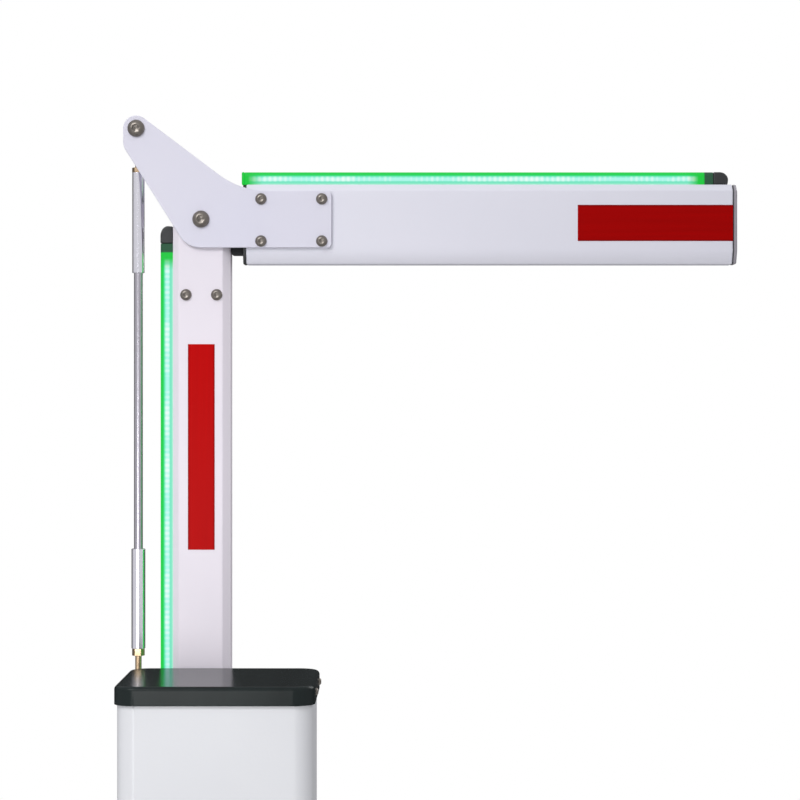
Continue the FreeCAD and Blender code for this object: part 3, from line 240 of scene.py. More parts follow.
def start_tree(name, inputs, output):
    """An empty Geometry Nodes tree with these named inputs and one output of geometry."""
    tree = bpy.data.node_groups.new(name, "GeometryNodeTree")
    for label, kind in inputs.items():
        tree.interface.new_socket(label, in_out="INPUT", socket_type="NodeSocket" + kind)
    tree.interface.new_socket(output, in_out="OUTPUT", socket_type="NodeSocketGeometry")
    return tree, add_node(tree, "NodeGroupInput").outputs


def end_tree(tree, shape, finish):
    """Makes a tree's copies real, gives them their finish and sends them out."""
    real = add_node(tree, "GeometryNodeRealizeInstances", links={0: shape})
    coated = add_node(tree, "GeometryNodeSetMaterial", links={"Geometry": real, "Material": finish})
    add_node(tree, "NodeGroupOutput", links={0: coated})
    return tree


def seating_tree():
    """A tree that sets one pattern piece on each seat, turned and sized as its seat says."""
    tree, given = start_tree("set_on_seats", {
        "Seats": "Geometry", "Pattern": "Object", "Width": "Float", "Depth": "Float", "Height": "Float",
        "Random turn": "Float", "Seed": "Int", "Finish": "Material"}, "Pieces")
    facing, along = (add_node(tree, "GeometryNodeInputNamedAttribute",
                              {"data_type": "FLOAT_VECTOR", "Name": label}) for label in ("facing", "along"))
    upright = add_node(tree, "FunctionNodeAlignRotationToVector", {"axis": "Z"}, {"Vector": facing})
    lined = add_node(tree, "FunctionNodeAlignRotationToVector", {"axis": "X", "pivot_axis": "Z"},
                     {"Rotation": upright, "Vector": along})
    chance = add_node(tree, "FunctionNodeRandomValue", {"data_type": "FLOAT"},
                      {3: given["Random turn"], "Seed": given["Seed"]})
    spin = add_node(tree, "FunctionNodeAxisAngleToRotation", {"Axis": (0, 0, 1)},
                    {"Angle": chance.outputs[1]})
    turned = add_node(tree, "FunctionNodeRotateRotation", {"rotation_space": "LOCAL"}, {0: lined, 1: spin})
    size = add_node(tree, "ShaderNodeCombineXYZ",
                    links={0: given["Width"], 1: given["Depth"], 2: given["Height"]})
    pattern = add_node(tree, "GeometryNodeObjectInfo", {"As Instance": True}, {"Object": given["Pattern"]})
    copies = add_node(tree, "GeometryNodeInstanceOnPoints", links={
        "Points": given["Seats"], "Instance": pattern.outputs["Geometry"], "Rotation": turned,
        "Scale": size})
    return end_tree(tree, copies, given["Finish"])


def pattern_piece(name, shape):
    """A pattern that only the tree above copies."""
    mesh = bpy.data.meshes.new(name)
    shape.to_mesh(mesh)
    shape.free()
    mesh.polygons.foreach_set("use_smooth", [True] * len(mesh.polygons))
    mesh.set_sharp_from_angle(angle=math.radians(38))
    return bpy.data.objects.new(name, mesh)


def grown(holder, tree, inputs):
    """Runs a tree on holder with these inputs and gives the mesh that it makes."""
    modifier = holder.modifiers.new("grow", "NODES")
    modifier.node_group = tree
    for item in tree.interface.items_tree:
        if item.item_type == "SOCKET" and item.in_out == "INPUT" and item.name in inputs:
            modifier[item.identifier] = inputs[item.name]
    graph = bpy.context.evaluated_depsgraph_get()
    mesh = bpy.data.meshes.new_from_object(holder.evaluated_get(graph))
    bpy.data.objects.remove(holder)
    return mesh


def seated(name, seats, pattern, size, finish, body, nodes=(), turn=0.0, seed=7):
    """Sets pattern on each seat, a (place, facing, along) triple, at size (width, depth, height)."""
    marks = bpy.data.meshes.new(name + "_seats")
    marks.from_pydata([seat[0] for seat in seats], [], [])
    for label, column in (("facing", 1), ("along", 2)):
        field = marks.attributes.new(label, "FLOAT_VECTOR", "POINT")
        for spot, seat in zip(field.data, seats):
            spot.vector = seat[column]
    mesh = grown(shown(name + "_seats", marks), SEATING, {
        "Pattern": pattern, "Width": size[0], "Depth": size[1], "Height": size[2], "Random turn": turn,
        "Seed": seed, "Finish": finish})
    mesh.name = name
    piece = shown(name, mesh)
    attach(piece, body)
    if nodes:
        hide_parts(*nodes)


def rail_pattern(name, outline):
    """A rail one unit long with this (y, z) outline, as a pattern."""
    return pattern_piece(name, bridged([[(x, y, z) for y, z in outline] for x in (-0.5, 0.5)]))


SEATING = seating_tree()
VENT_PLASTIC = moulded_plastic("grained_abs_grey", "8F9396", "868A8D", 0.5)
VENT_SLATS = 7
VENT_RIM = 0.005
VENT_GROUND = 0.0008
SLAT = rail_pattern("vent_slat", ((-0.5, 0.0), (-0.5, 0.25), (0.15, 1.0), (0.3, 1.0), (0.5, 0.7), (0.5, 0.0)))
for number, (low, high) in enumerate(islands("side_vents")):
    side = 1 if high.x > 0 else -1
    ground = low.x if side > 0 else high.x
    pitch = (high.z - low.z - 2 * VENT_RIM) / VENT_SLATS
    seats = [(Vector((ground + side * VENT_GROUND, (low.y + high.y) / 2,
                      low.z + VENT_RIM + pitch * (row + 0.5))),
              Vector((side, 0, 0)), Vector((0, 1, 0))) for row in range(VENT_SLATS)]
    seated(f"vent_slats_{number}", seats, SLAT, (high.y - low.y - 2 * VENT_RIM, pitch * 0.8, 0.0020),
           VENT_PLASTIC, "cabinet")
    rings = [[(ground + side * rise, y, z) for y, z in (
        (low.y + inset, low.z + inset), (high.y - inset, low.z + inset),
        (high.y - inset, high.z - inset), (low.y + inset, high.z - inset))] for inset, rise in (
            (0, 0), (0, 0.0022), (0.0008, 0.003), (VENT_RIM - 0.0008, 0.003), (VENT_RIM, 0.0022),
            (VENT_RIM, 0.0006))]
    finished(bridged(rings), f"vent_rim_{number}", "cabinet", VENT_PLASTIC, ["side_vents"])


# ---- Cable gland ----------------------------------------------------------------------------
# The moulded nylon gland that the boom light's lead comes out of: a hexagon body with a domed
# nut, screwed through the back of the housing.

BLACK_NYLON = moulded_plastic("moulded_nylon_black", "1D1F20", "26282A", 0.42)
dressed("cable_gland", "lead_gland", "cabinet", BLACK_NYLON, "black_plastic", edge=0.0006, shortest=0.002)


# ---- Button head screws on the cabinet ------------------------------------------------------
# Stainless socket screws with a low domed head, cold formed from bar and tumbled, so the dome
# has faint turning rings and the socket stays dark inside.

def turned_metal(name, colour, shade, roughness, depth=0.00008):
    """Turned or formed metal: rings from the tool about each piece, and slight stain between them.
    Real rings are 0.1 mm apart, so they are drawn several times as wide to show."""
    material, tree, place = blank_finish(name)
    stain = add_node(tree, "ShaderNodeTexNoise", {"Scale": 1 / 0.006, "Detail": 5.0}, {"Vector": place})
    ringed = add_node(tree, "ShaderNodeTexNoise", {"Scale": 1 / 0.0008, "Detail": 2.0}, {"Vector": place})
    tone = add_node(tree, "ShaderNodeMix", {"data_type": "RGBA", 6: linear(colour), 7: linear(shade)},
                    {0: stain})
    end_finish(tree, tone.outputs[2], ringed, 0.2, depth, {"Metallic": 1.0},
               (stain, roughness - 0.1, roughness + 0.1))
    return material


def button_head():
    """A domed head of radius 1 and height 1 with a hexagon socket, made as rings from the seat inwards."""
    flat, angles = 0.40, [math.pi * step / 18 for step in range(36)]
    rings = []
    for radius, height, hexagon in (
            (0.97, 0.0, False), (1.0, 0.08, False), (1.0, 0.2, False), (0.95, 0.42, False),
            (0.84, 0.66, False), (0.68, 0.87, False), (0.56, 0.98, False), (flat + 0.06, 1.0, True),
            (flat, 0.97, True), (flat, 0.28, True), (0.12, 0.12, False)):
        spokes = [(angle, radius / math.cos(angle % (math.pi / 3) - math.pi / 6) if hexagon else radius)
                  for angle in angles]
        rings.append([(reach * math.cos(angle), reach * math.sin(angle), height) for angle, reach in spokes])
    return pattern_piece("button_head", bridged(rings))


def threaded_shank():
    """A shank of radius 1 and height 1 with ridges of thread and a chamfered end."""
    sides, ridges = 24, 26
    profile = [(1.0, 0.0)]
    for ridge in range(ridges):
        profile += [(0.92, (ridge + 0.25) / (ridges + 1)), (1.0, (ridge + 0.75) / (ridges + 1))]
    profile.append((0.8, 1.0))
    angles = [2 * math.pi * step / sides for step in range(sides)]
    return pattern_piece("threaded_shank", bridged([
        [(radius * math.cos(angle), radius * math.sin(angle), height) for angle in angles]
        for radius, height in profile]))


def screw_heads(name, node, boxes, axis, sign, rise, body, seed=7):
    """Domed heads on a node's solids, on the faces that look along axis to side sign. Gives their seats."""
    facing = Vector((0, 0, 0))
    facing[axis] = sign
    seats, radius = [], 0.0
    for low, high in boxes:
        place = (low + high) / 2
        place[axis] = (high if sign > 0 else low)[axis] - sign * rise
        seats.append((place, facing, Vector((0, 0, 1))))
        radius = max(radius, *((high - low)[i] / 2 for i in range(3) if i != axis))
    seated(name, seats, HEAD, (radius, radius, rise), STAINLESS, body, [node], turn=math.pi / 3,
           seed=seed)
    return seats


def bolt_set(name, node, body, sign, rise, shank_radius):
    """Domed heads and threaded shanks for the solids of a node whose heads face along y, on side sign."""
    boxes = islands(node)
    seats = screw_heads(name + "_heads", node, boxes, 1, sign, rise, body)
    length = max((high - low).y for low, high in boxes) - rise
    seated(name + "_shanks", [(place, -facing, along) for place, facing, along in seats], SHANK,
           (shank_radius, shank_radius, length), STAINLESS, body, [node])


HEAD = button_head()
SHANK = threaded_shank()
STAINLESS = turned_metal("tumbled_stainless", "8D8781", "6B655F", 0.36)
M5_HEAD, M8_HEAD, M10_HEAD, M12_HEAD = 0.0028, 0.0044, 0.0055, 0.0066
for side, sign in (("left", -1), ("right", 1)):
    screw_heads(f"housing_screws_{side}", "body_screws",
                [box for box in islands("body_screws") if (box[0].x + box[1].x) * sign > 0], 0, sign, M5_HEAD,
                "cabinet")


# ---- Service door and its hinges ------------------------------------------------------------
# A 3 mm steel door over the doorway, powder coated with the housing. A foam rubber strip is
# glued round the doorway, and two pin hinges on the left carry the door.

def sponge_rubber(name, colour, drift):
    """Closed cell rubber: matt, with small open pores where the skin is cut."""
    material, tree, place = blank_finish(name)
    pores = add_node(tree, "ShaderNodeTexVoronoi", {"Scale": 1 / 0.0012}, {"Vector": place})
    tone = add_node(tree, "ShaderNodeMix", {"data_type": "RGBA", 6: linear(colour), 7: linear(drift)},
                    {0: pores.outputs["Distance"]})
    end_finish(tree, tone.outputs[2], pores.outputs["Distance"], 0.4, 0.0003, {"Roughness": 0.85, "IOR": 1.5})
    return material


def kept(node, finish):
    """Leaves a CAD node showing, with this finish."""
    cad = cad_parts[node]
    cad.data.materials.clear()
    cad.data.materials.append(finish)


RUBBER = sponge_rubber("sponge_rubber_black", "17181A", "222426")
ZINC = turned_metal("zinc_plated_steel", "B9BCBE", "A3A6A8", 0.34)
dressed("door_panel", "service_door", "door", CABINET_COAT, "cabinet_white", edge=0.0008, shortest=0.006)
kept("door_gasket", RUBBER)
dressed("frame_hinges", "hinge_leaves_housing", "cabinet", ZINC, "zinc_steel", edge=0.0004, shortest=0.002)
dressed("door_hinges", "hinge_leaves_door", "door", ZINC, "zinc_steel", edge=0.0004, shortest=0.002)


# ---- Cam lock -------------------------------------------------------------------------------
# A quarter turn lock in the door: a moulded surround, a die cast zinc barrel with a key way,
# and a pressed cam that swings behind the doorway's edge.

dressed("lock_housing", "lock_surround", "door", BLACK_NYLON, "black_plastic", edge=0.0005, shortest=0.001)
DIE_CAST = turned_metal("die_cast_zinc", "9DA0A2", "868A8D", 0.4)
dressed("lock_barrel", "lock_key_barrel", "lock", DIE_CAST, "zinc_steel", edge=0.0003, shortest=0.001)
dressed("lock_cam", "lock_cam_plate", "lock", ZINC, "zinc_steel", edge=0.0004, shortest=0.003)


# ---- Top cover ------------------------------------------------------------------------------
# The lid: 2 mm steel pressed to a shallow box with round corners, sprayed gloss black. Deep
# gloss hides its own colour, so it shows little but soft streaks of what stands about it. Those
# streaks are painted into its colour as lighter slanted bands: painted reflections.

def gloss_lacquer(name, colour, drift, roughness):
    """Sprayed gloss black: a thin clear skin over near black, with wide faint lighter streaks that are
    painted reflections.
    """
    material, tree, place = blank_finish(name)
    # Painted reflection: the lighter drift colour laid on in wide slanted streaks.
    painted_reflection_stretch = add_node(tree, "ShaderNodeMapping", {"Scale": (22.0, 3.0, 3.0), "Rotation": (0, 0.35, 0)},
                       {"Vector": place})
    streak = add_node(tree, "ShaderNodeTexNoise", {"Scale": 1.0, "Detail": 3.0}, {"Vector": painted_reflection_stretch})
    tone = add_node(tree, "ShaderNodeMix", {"data_type": "RGBA", 6: linear(colour), 7: linear(drift)},
                    {0: streak})
    peel = add_node(tree, "ShaderNodeTexNoise", {"Scale": 1 / 0.005, "Detail": 2.0}, {"Vector": place})
    end_finish(tree, tone.outputs[2], peel, 0.1, 0.0002,
               {"Roughness": roughness, "IOR": 1.5, "Specular IOR Level": 0.10})
    return material


# The lighter second colour gives the painted reflection streaks.
GLOSS_BLACK_PAINTED_REFLECTIONS = gloss_lacquer("gloss_black_painted_reflections", "151A1A", "262D2D", 0.20)
dressed("top_cover", "lid", "cabinet", GLOSS_BLACK_PAINTED_REFLECTIONS, "gloss_black", edge=0.001, shortest=0.02)


# ---- Inner frame and gear unit --------------------------------------------------------------
# Behind the door a folded zinc plated frame carries the worm gearbox, cast in aluminium and
# sand blasted, with the drive motor hung beneath it.

def cast_metal(name, colour, shade, roughness):
    """Sand cast metal: a coarse matt skin, 1 to 2 mm in grain, and darker in its hollows."""
    material, tree, place = blank_finish(name)
    sand = add_node(tree, "ShaderNodeTexNoise", {"Scale": 1 / 0.0016, "Detail": 5.0, "Roughness": 0.65},
                    {"Vector": place})
    tone = add_node(tree, "ShaderNodeMix", {"data_type": "RGBA", 6: linear(shade), 7: linear(colour)},
                    {0: sand})
    end_finish(tree, tone.outputs[2], sand, 0.5, 0.0004, {"Metallic": 0.75, "Roughness": roughness})
    return material


CAST_ALUMINIUM = cast_metal("cast_aluminium", "A7AAAC", "8E9193", 0.55)
MOTOR_PAINT = powder_coat("motor_enamel_black", "26292B", "1F2224", 0.45, 0.003)
dressed("inner_frame", "drive_frame", "cabinet", ZINC, "zinc_steel", edge=0.0006, shortest=0.006)
dressed("gearbox", "gear_case", "cabinet", CAST_ALUMINIUM, "cast_grey", edge=0.0015, shortest=0.006)
motor_low, motor_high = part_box("drive_motor")
MOTOR_RADIUS = (motor_high.y - motor_low.y) / 2
MOTOR_FINS = 40
FIN_RISE = 0.0038
LEAD_BOX_HALF = 0.022
LEAD_BOX_DEPTH = 0.030
SUNK = 0.0002
motor_axis = Vector((motor_low.x + MOTOR_RADIUS, motor_low.y + MOTOR_RADIUS, 0))
motor_length = motor_high.z - motor_low.z
barrel_radius = MOTOR_RADIUS - FIN_RISE - SUNK
cowl_radius = MOTOR_RADIUS - 0.001
COWL_LENGTH = 0.0462
motor_profile = [(0, 0), (cowl_radius - 0.008, 0), (cowl_radius - 0.002, 0.0015), (cowl_radius, 0.006),
                 (cowl_radius, COWL_LENGTH - 0.0012), (cowl_radius - 0.001, COWL_LENGTH),
                 (barrel_radius, COWL_LENGTH), (barrel_radius, motor_length), (0, motor_length)]
motor = bmesh.new()
motor_outline = [motor.verts.new((motor_axis.x + radius, motor_axis.y, motor_low.z + rise))
                 for radius, rise in motor_profile]
motor_edges = [motor.edges.new(pair) for pair in zip(motor_outline, motor_outline[1:])]
bmesh.ops.spin(motor, geom=motor_outline + motor_edges, cent=motor_axis, axis=(0, 0, 1), steps=64,
               angle=2 * math.pi)
bmesh.ops.remove_doubles(motor, verts=motor.verts, dist=1e-5)
lead_box = bmesh.ops.create_cube(motor, size=1.0)["verts"]
for corner in lead_box:
    corner.co = (motor_high.x + LEAD_BOX_DEPTH * (corner.co.x - 0.5),
                 motor_axis.y + 2 * LEAD_BOX_HALF * corner.co.y,
                 motor_low.z + motor_length * (0.675 + 0.35 * corner.co.z))
bmesh.ops.bevel(motor, geom=list({edge for corner in lead_box for edge in corner.link_edges}), offset=0.002,
                offset_type="OFFSET", segments=3, profile=0.5, affect="EDGES", clamp_overlap=False)
bmesh.ops.recalc_face_normals(motor, faces=motor.faces)
finished(motor, "motor_case", "cabinet", MOTOR_PAINT, ["drive_motor"])

fin = bmesh.new()
bmesh.ops.create_cube(fin, size=1.0)
for corner in fin.verts:
    if corner.co.z > 0:
        corner.co.x, corner.co.y = corner.co.x * 0.97, corner.co.y * 0.6
    corner.co.z += 0.5
FIN = pattern_piece("cooling_fin", fin)
fins = []
for number in range(MOTOR_FINS):
    angle = 2 * math.pi * number / MOTOR_FINS
    outward = Vector((math.cos(angle), math.sin(angle), 0))
    if outward.x < 0 or abs(outward.y) * MOTOR_RADIUS > LEAD_BOX_HALF:
        fins.append((motor_axis + outward * barrel_radius + Vector((0, 0, motor_low.z + 0.65 * motor_length)),
                     outward, Vector((0, 0, 1))))
seated("motor_cooling_fins", fins, FIN, (0.5 * motor_length, 0.0020, FIN_RISE), MOTOR_PAINT, "cabinet")
lead_screws = [(Vector((motor_high.x - SUNK, motor_axis.y + across, motor_low.z + motor_length * rise)),
                Vector((1, 0, 0)), Vector((0, 0, 1))) for across in (-0.016, 0.016) for rise in (0.55, 0.80)]
seated("motor_lead_box_screws", lead_screws, HEAD, (0.0028, 0.0028, 0.0018), ZINC, "cabinet",
       turn=math.pi / 3)
dressed("output_bearing", "bearing_flange", "cabinet", CAST_ALUMINIUM, "cast_grey", edge=0.0006,
        shortest=0.003)
kept("shaft_seal", RUBBER)


# ---- Control box ----------------------------------------------------------------------------
# The controller's moulded case, on the back of the housing beneath the gear unit. A lid with four
# screws closes it, and a row of black nylon terminals takes the motor's and the sensors' leads.

def block(low, high):
    """A plain block between two corners."""
    shape = bmesh.new()
    bmesh.ops.create_cube(shape, size=1.0)
    for corner in shape.verts:
        corner.co = [low[i] + (high[i] - low[i]) * (corner.co[i] + 0.5) for i in range(3)]
    return shape


GREY_ABS = moulded_plastic("moulded_abs_light_grey", "B4B7B9", "A9ACAE", 0.48)
dressed("control_box", "controller_case", "cabinet", GREY_ABS, "grey_plastic", edge=0.0012, shortest=0.004)
case_low, case_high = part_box("control_box")
LID_THICKNESS = 0.0025
TERMINAL_WAYS = 16
TERMINAL_PITCH = 0.0050
TERMINAL_RISE = 0.0080
lid_face = case_low.y - LID_THICKNESS
LID_INSET = 0.004
case_lid = block((case_low.x + LID_INSET, lid_face, case_low.z + LID_INSET),
                 (case_high.x - LID_INSET, case_low.y, case_high.z - LID_INSET))
finished(soften(case_lid, 0.0008, corner=60), "controller_lid", "cabinet",
         moulded_plastic("moulded_abs_dark_grey", "7F8488", "777C80", 0.45))
SCREW_INSET = 0.012
lid_screws = [(Vector((x, lid_face + SUNK, z)), Vector((0, -1, 0)), Vector((0, 0, 1)))
              for x in (case_low.x + SCREW_INSET, case_high.x - SCREW_INSET)
              for z in (case_low.z + SCREW_INSET, case_high.z - SCREW_INSET)]
seated("controller_lid_screws", lid_screws, HEAD, (0.0032, 0.0032, 0.0020), STAINLESS, "cabinet",
       turn=math.pi / 3, seed=5)
TERMINAL = rail_pattern("terminal_way", ((-0.5, 0.0), (-0.5, 0.55), (-0.1, 1.0), (0.5, 1.0), (0.5, 0.0)))
ways = [(Vector(((number - (TERMINAL_WAYS - 1) / 2) * TERMINAL_PITCH, lid_face + SUNK, case_low.z + 0.034)),
         Vector((0, -1, 0)), Vector((1, 0, 0))) for number in range(TERMINAL_WAYS)]
seated("controller_terminals", ways, TERMINAL, (0.0045, 0.0100, TERMINAL_RISE), BLACK_NYLON, "cabinet")
way_screws = [(place + facing * (TERMINAL_RISE - SUNK), facing, Vector((0, 0, 1)))
              for place, facing, along in ways]
seated("controller_terminal_screws", way_screws, HEAD, (0.0015, 0.0015, 0.0008), ZINC, "cabinet",
       turn=math.pi / 3, seed=9)


# ---- Main shaft, hub and balance spring -----------------------------------------------------
# A ground steel shaft runs from the gearbox through the back of the housing to a turned hub.
# A torsion spring wound about its inner end, held in a collar, takes the boom's weight.

def coiled_wire_tree():
    """A tree for a close wound torsion spring: round wire swept along a helix."""
    tree, given = start_tree("torsion_spring", {
        "Holder": "Geometry", "Turns": "Float", "Coil radius": "Float", "Wire radius": "Float",
        "Length": "Float", "Finish": "Material"}, "Spring")
    helix = add_node(tree, "GeometryNodeCurveSpiral", {"Resolution": 48}, {
        "Rotations": given["Turns"], "Start Radius": given["Coil radius"], "End Radius": given["Coil radius"],
        "Height": given["Length"]})
    wire = add_node(tree, "GeometryNodeCurvePrimitiveCircle", {"Resolution": 16},
                    {"Radius": given["Wire radius"]})
    swept = add_node(tree, "GeometryNodeCurveToMesh", {"Fill Caps": True},
                     {"Curve": helix, "Profile Curve": wire})
    smooth = add_node(tree, "GeometryNodeSetShadeSmooth", links={0: swept})
    return end_tree(tree, smooth, given["Finish"])


GROUND_STEEL = turned_metal("ground_steel", "8E9295", "7B7F82", 0.3)
BLACKED_STEEL = turned_metal("oil_blacked_steel", "34373A", "26282A", 0.42)
SPRING_STEEL = turned_metal("blued_spring_steel", "3A3F47", "2B2E33", 0.36)
WIRE_RADIUS = 0.0042
END_GAP = 0.0005
spring_low, spring_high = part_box("balance_spring")
spring_middle = (spring_low + spring_high) / 2
spring_length = spring_high.y - spring_low.y - 2 * WIRE_RADIUS - 2 * END_GAP
coil_radius = (spring_high.x - spring_low.x) / 2 - WIRE_RADIUS - 0.0006
wound = grown(shown("spring_seat", bpy.data.meshes.new("spring_seat")), coiled_wire_tree(), {
    "Turns": 5.5, "Coil radius": coil_radius, "Wire radius": WIRE_RADIUS, "Length": spring_length,
    "Finish": SPRING_STEEL})
wound.transform(Matrix.Translation((spring_middle.x, spring_high.y - WIRE_RADIUS - END_GAP, spring_middle.z))
                @ Matrix.Rotation(math.pi / 2, 4, "X"))
wound.name = "balance_spring_coil"
spring = shown("balance_spring_coil", wound)
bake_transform(spring)
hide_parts("balance_spring")
dressed("main_shaft", "drive_shaft", "lower_arm", GROUND_STEEL, "dark_steel", edge=0.0008)
dressed("boom_hub", "boom_hub_flange", "lower_arm", BLACKED_STEEL, "dark_steel", edge=0.001)
dressed("spring_collar", "spring_end_collar", "lower_arm", BLACKED_STEEL, "dark_steel", edge=0.0008)


# ---- Bolts through the housing back ---------------------------------------------------------
# Four bolts hold the bearing and two hold the push rod's bracket, all with domed heads outside.

bolt_set("back_plate_bolts", "wall_bolts", "cabinet", 1, M8_HEAD, 0.004)


# ---- Push rod bracket -----------------------------------------------------------------------
# An 8 mm steel bracket, sawn and milled, powder coated white, with a steel pin that the lower
# end of the push rod turns on.

BOOM_COAT = powder_coat("white_powder_coat", "E5E4EE", "DFDFEA", 0.38, 0.005)
dressed("rod_bracket", "push_rod_bracket", "cabinet", BOOM_COAT, "white_powder_coat", edge=0.001,
        shortest=0.004)
dressed("rod_pin", "push_rod_pin", "cabinet", ZINC, "zinc_steel", edge=0.0006)
dressed("rod_pin_nut", "push_rod_pin_nut", "cabinet", ZINC, "zinc_steel", edge=0.0005, shortest=0.003)


# ---- Boom cradle and clamp ------------------------------------------------------------------
# The boom stands in a welded steel channel on the hub. A plate behind it is drawn up by four
# socket screws, which grip the boom between them. Channel and plate are oil blacked.

dressed("boom_cradle", "boom_channel", "lower_arm", BLACKED_STEEL, "dark_steel", edge=0.0012, shortest=0.006)
dressed("clamp_plate", "boom_clamp_plate", "lower_arm", BLACKED_STEEL, "dark_steel", edge=0.001,
        shortest=0.006)
bolt_set("channel_screws", "cradle_bolts", "lower_arm", 1, M10_HEAD, 0.005)


# ---- Lower boom -----------------------------------------------------------------------------
# An extruded aluminium box, 1.5 mm thick with chamfered corners, powder coated white. Moulded
# caps close its ends. Against the cabinet its coat looks faintly pink, so it is drawn as a pinker
# copy of the folding boom's coat: a painted pinkish shade.

# A pinker copy of the white boom coat: painted pinkish shade on the standing boom.
LOWER_COAT_PAINTED_PINK_SHADE = powder_coat("white_powder_coat_painted_pink_shade", "ECE4ED", "E6E1EA", 0.38, 0.005)
dressed("lower_boom", "standing_boom", "lower_arm", LOWER_COAT_PAINTED_PINK_SHADE, "white_powder_coat", edge=0.0012,
        shortest=0.012)
dressed("lower_boom_caps", "standing_boom_caps", "lower_arm", BLACK_NYLON, "black_plastic", edge=0.0008,
        shortest=0.003)


# ---- Hinge insert and its bolts -------------------------------------------------------------
# A machined block slides into the boom's upper end and takes the hinge bolt in two bronze
# bushes. Two stainless screws in each face hold it.

SINTERED_BRONZE = turned_metal("sintered_bronze", "9A7444", "7F5F38", 0.45)
dressed("hinge_insert", "boom_hinge_block", "lower_arm", BLACKED_STEEL, "dark_steel", edge=0.0008,
        shortest=0.004)
kept("pivot_bushes", SINTERED_BRONZE)
boom_low, boom_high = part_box("lower_boom")
for side, sign in (("front", -1), ("rear", 1)):
    screw_heads(f"hinge_block_screws_{side}", "insert_bolts",
                [box for box in islands("insert_bolts")
                 if ((box[0].y + box[1].y) - (boom_low.y + boom_high.y)) * sign > 0], 1, sign, M8_HEAD,
                "lower_arm", seed=3)


# ---- Upper boom -----------------------------------------------------------------------------
# The folding length of the same box section, a size larger, with its caps and the rubber stop
# that meets the standing boom when the gate is raised and folded.

dressed("upper_boom", "folding_boom", "upper_arm", BOOM_COAT, "white_powder_coat", edge=0.0014,
        shortest=0.012)


def cap_with_painted_joint_shade(name, colour, joint_shade_colour, joint):
    """Moulded ABS with a thin dark band painted where the cap meets the boom: painted shade in the joint."""
    material = moulded_plastic(name, colour, colour, 0.4)
    tree = material.node_tree
    shader = next(node for node in tree.nodes if node.type == "BSDF_PRINCIPLED")
    moulded = shader.inputs["Base Color"].links[0].from_socket
    place = add_node(tree, "ShaderNodeTexCoord").outputs["Object"]
    axes = add_node(tree, "ShaderNodeSeparateXYZ", links={0: place})
    # Painted shade: a thin dark band in the cap's colour just beyond its joint with the boom.
    painted_joint_shade = add_node(tree, "ShaderNodeMapRange", {"From Min": joint + 0.0010, "From Max": joint + 0.0022},
                    {0: axes})
    darkened_edge = add_node(tree, "ShaderNodeMix", {"data_type": "RGBA", 6: linear(joint_shade_colour)}, {0: painted_joint_shade, 7: moulded})
    tree.links.new(darkened_edge.outputs[2], shader.inputs["Base Color"])
    return material


# 38383C is the painted shade in the joint where the cap meets the boom.
CAP_GREY = cap_with_painted_joint_shade("moulded_abs_grey_painted_joint_shade", "9C98A0", "38383C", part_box("upper_outer_cap")[0].x)
dressed("upper_outer_cap", "folding_boom_outer_cap", "upper_arm", CAP_GREY, "grey_plastic", edge=0.002,
        shortest=0.004, steps=3)
dressed("upper_inner_cap", "folding_boom_inner_cap", "upper_arm", BLACK_NYLON, "black_plastic", edge=0.0008,
        shortest=0.004)
dressed("fold_stop", "fold_stop_block", "upper_arm", RUBBER, "black_rubber", edge=0.0015, shortest=0.003)


# ---- Hinge plates ---------------------------------------------------------------------------
# Two 5 mm steel plates, laser cut and coated with the booms, clamp the folding boom between
# them and carry both pivots. Their edges are broken before coating, so they catch light.

PLATE_COAT = powder_coat("plate_powder_coat", "E0DEE9", "D9D8E8", 0.34, 0.005)
for side in ("front", "rear"):
    dressed(f"{side}_hinge_plate", f"{side}_side_plate", "upper_arm", PLATE_COAT, "white_plate", edge=0.0009,
            steps=3)
bolt_set("plate_screws", "plate_bolts", "upper_arm", -1, M8_HEAD, 0.004)
bolt_set("pivot_screws", "hinge_bolts", "upper_arm", -1, M12_HEAD, 0.006)
dressed("plate_nuts", "plate_screw_nuts", "upper_arm", ZINC, "zinc_steel", edge=0.0004, shortest=0.003)
dressed("hinge_nuts", "pivot_screw_nuts", "upper_arm", ZINC, "zinc_steel", edge=0.0005, shortest=0.003)
dressed("link_spacers", "link_spacer_tubes", "upper_arm", ZINC, "zinc_steel", edge=0.0003)


# ---- Light strips ---------------------------------------------------------------------------
# An LED strip runs up the standing boom and along the folding one, inside an extruded silicone
# lens. Green diodes every 6.5 mm light the lens: near white over them and deep green outside.

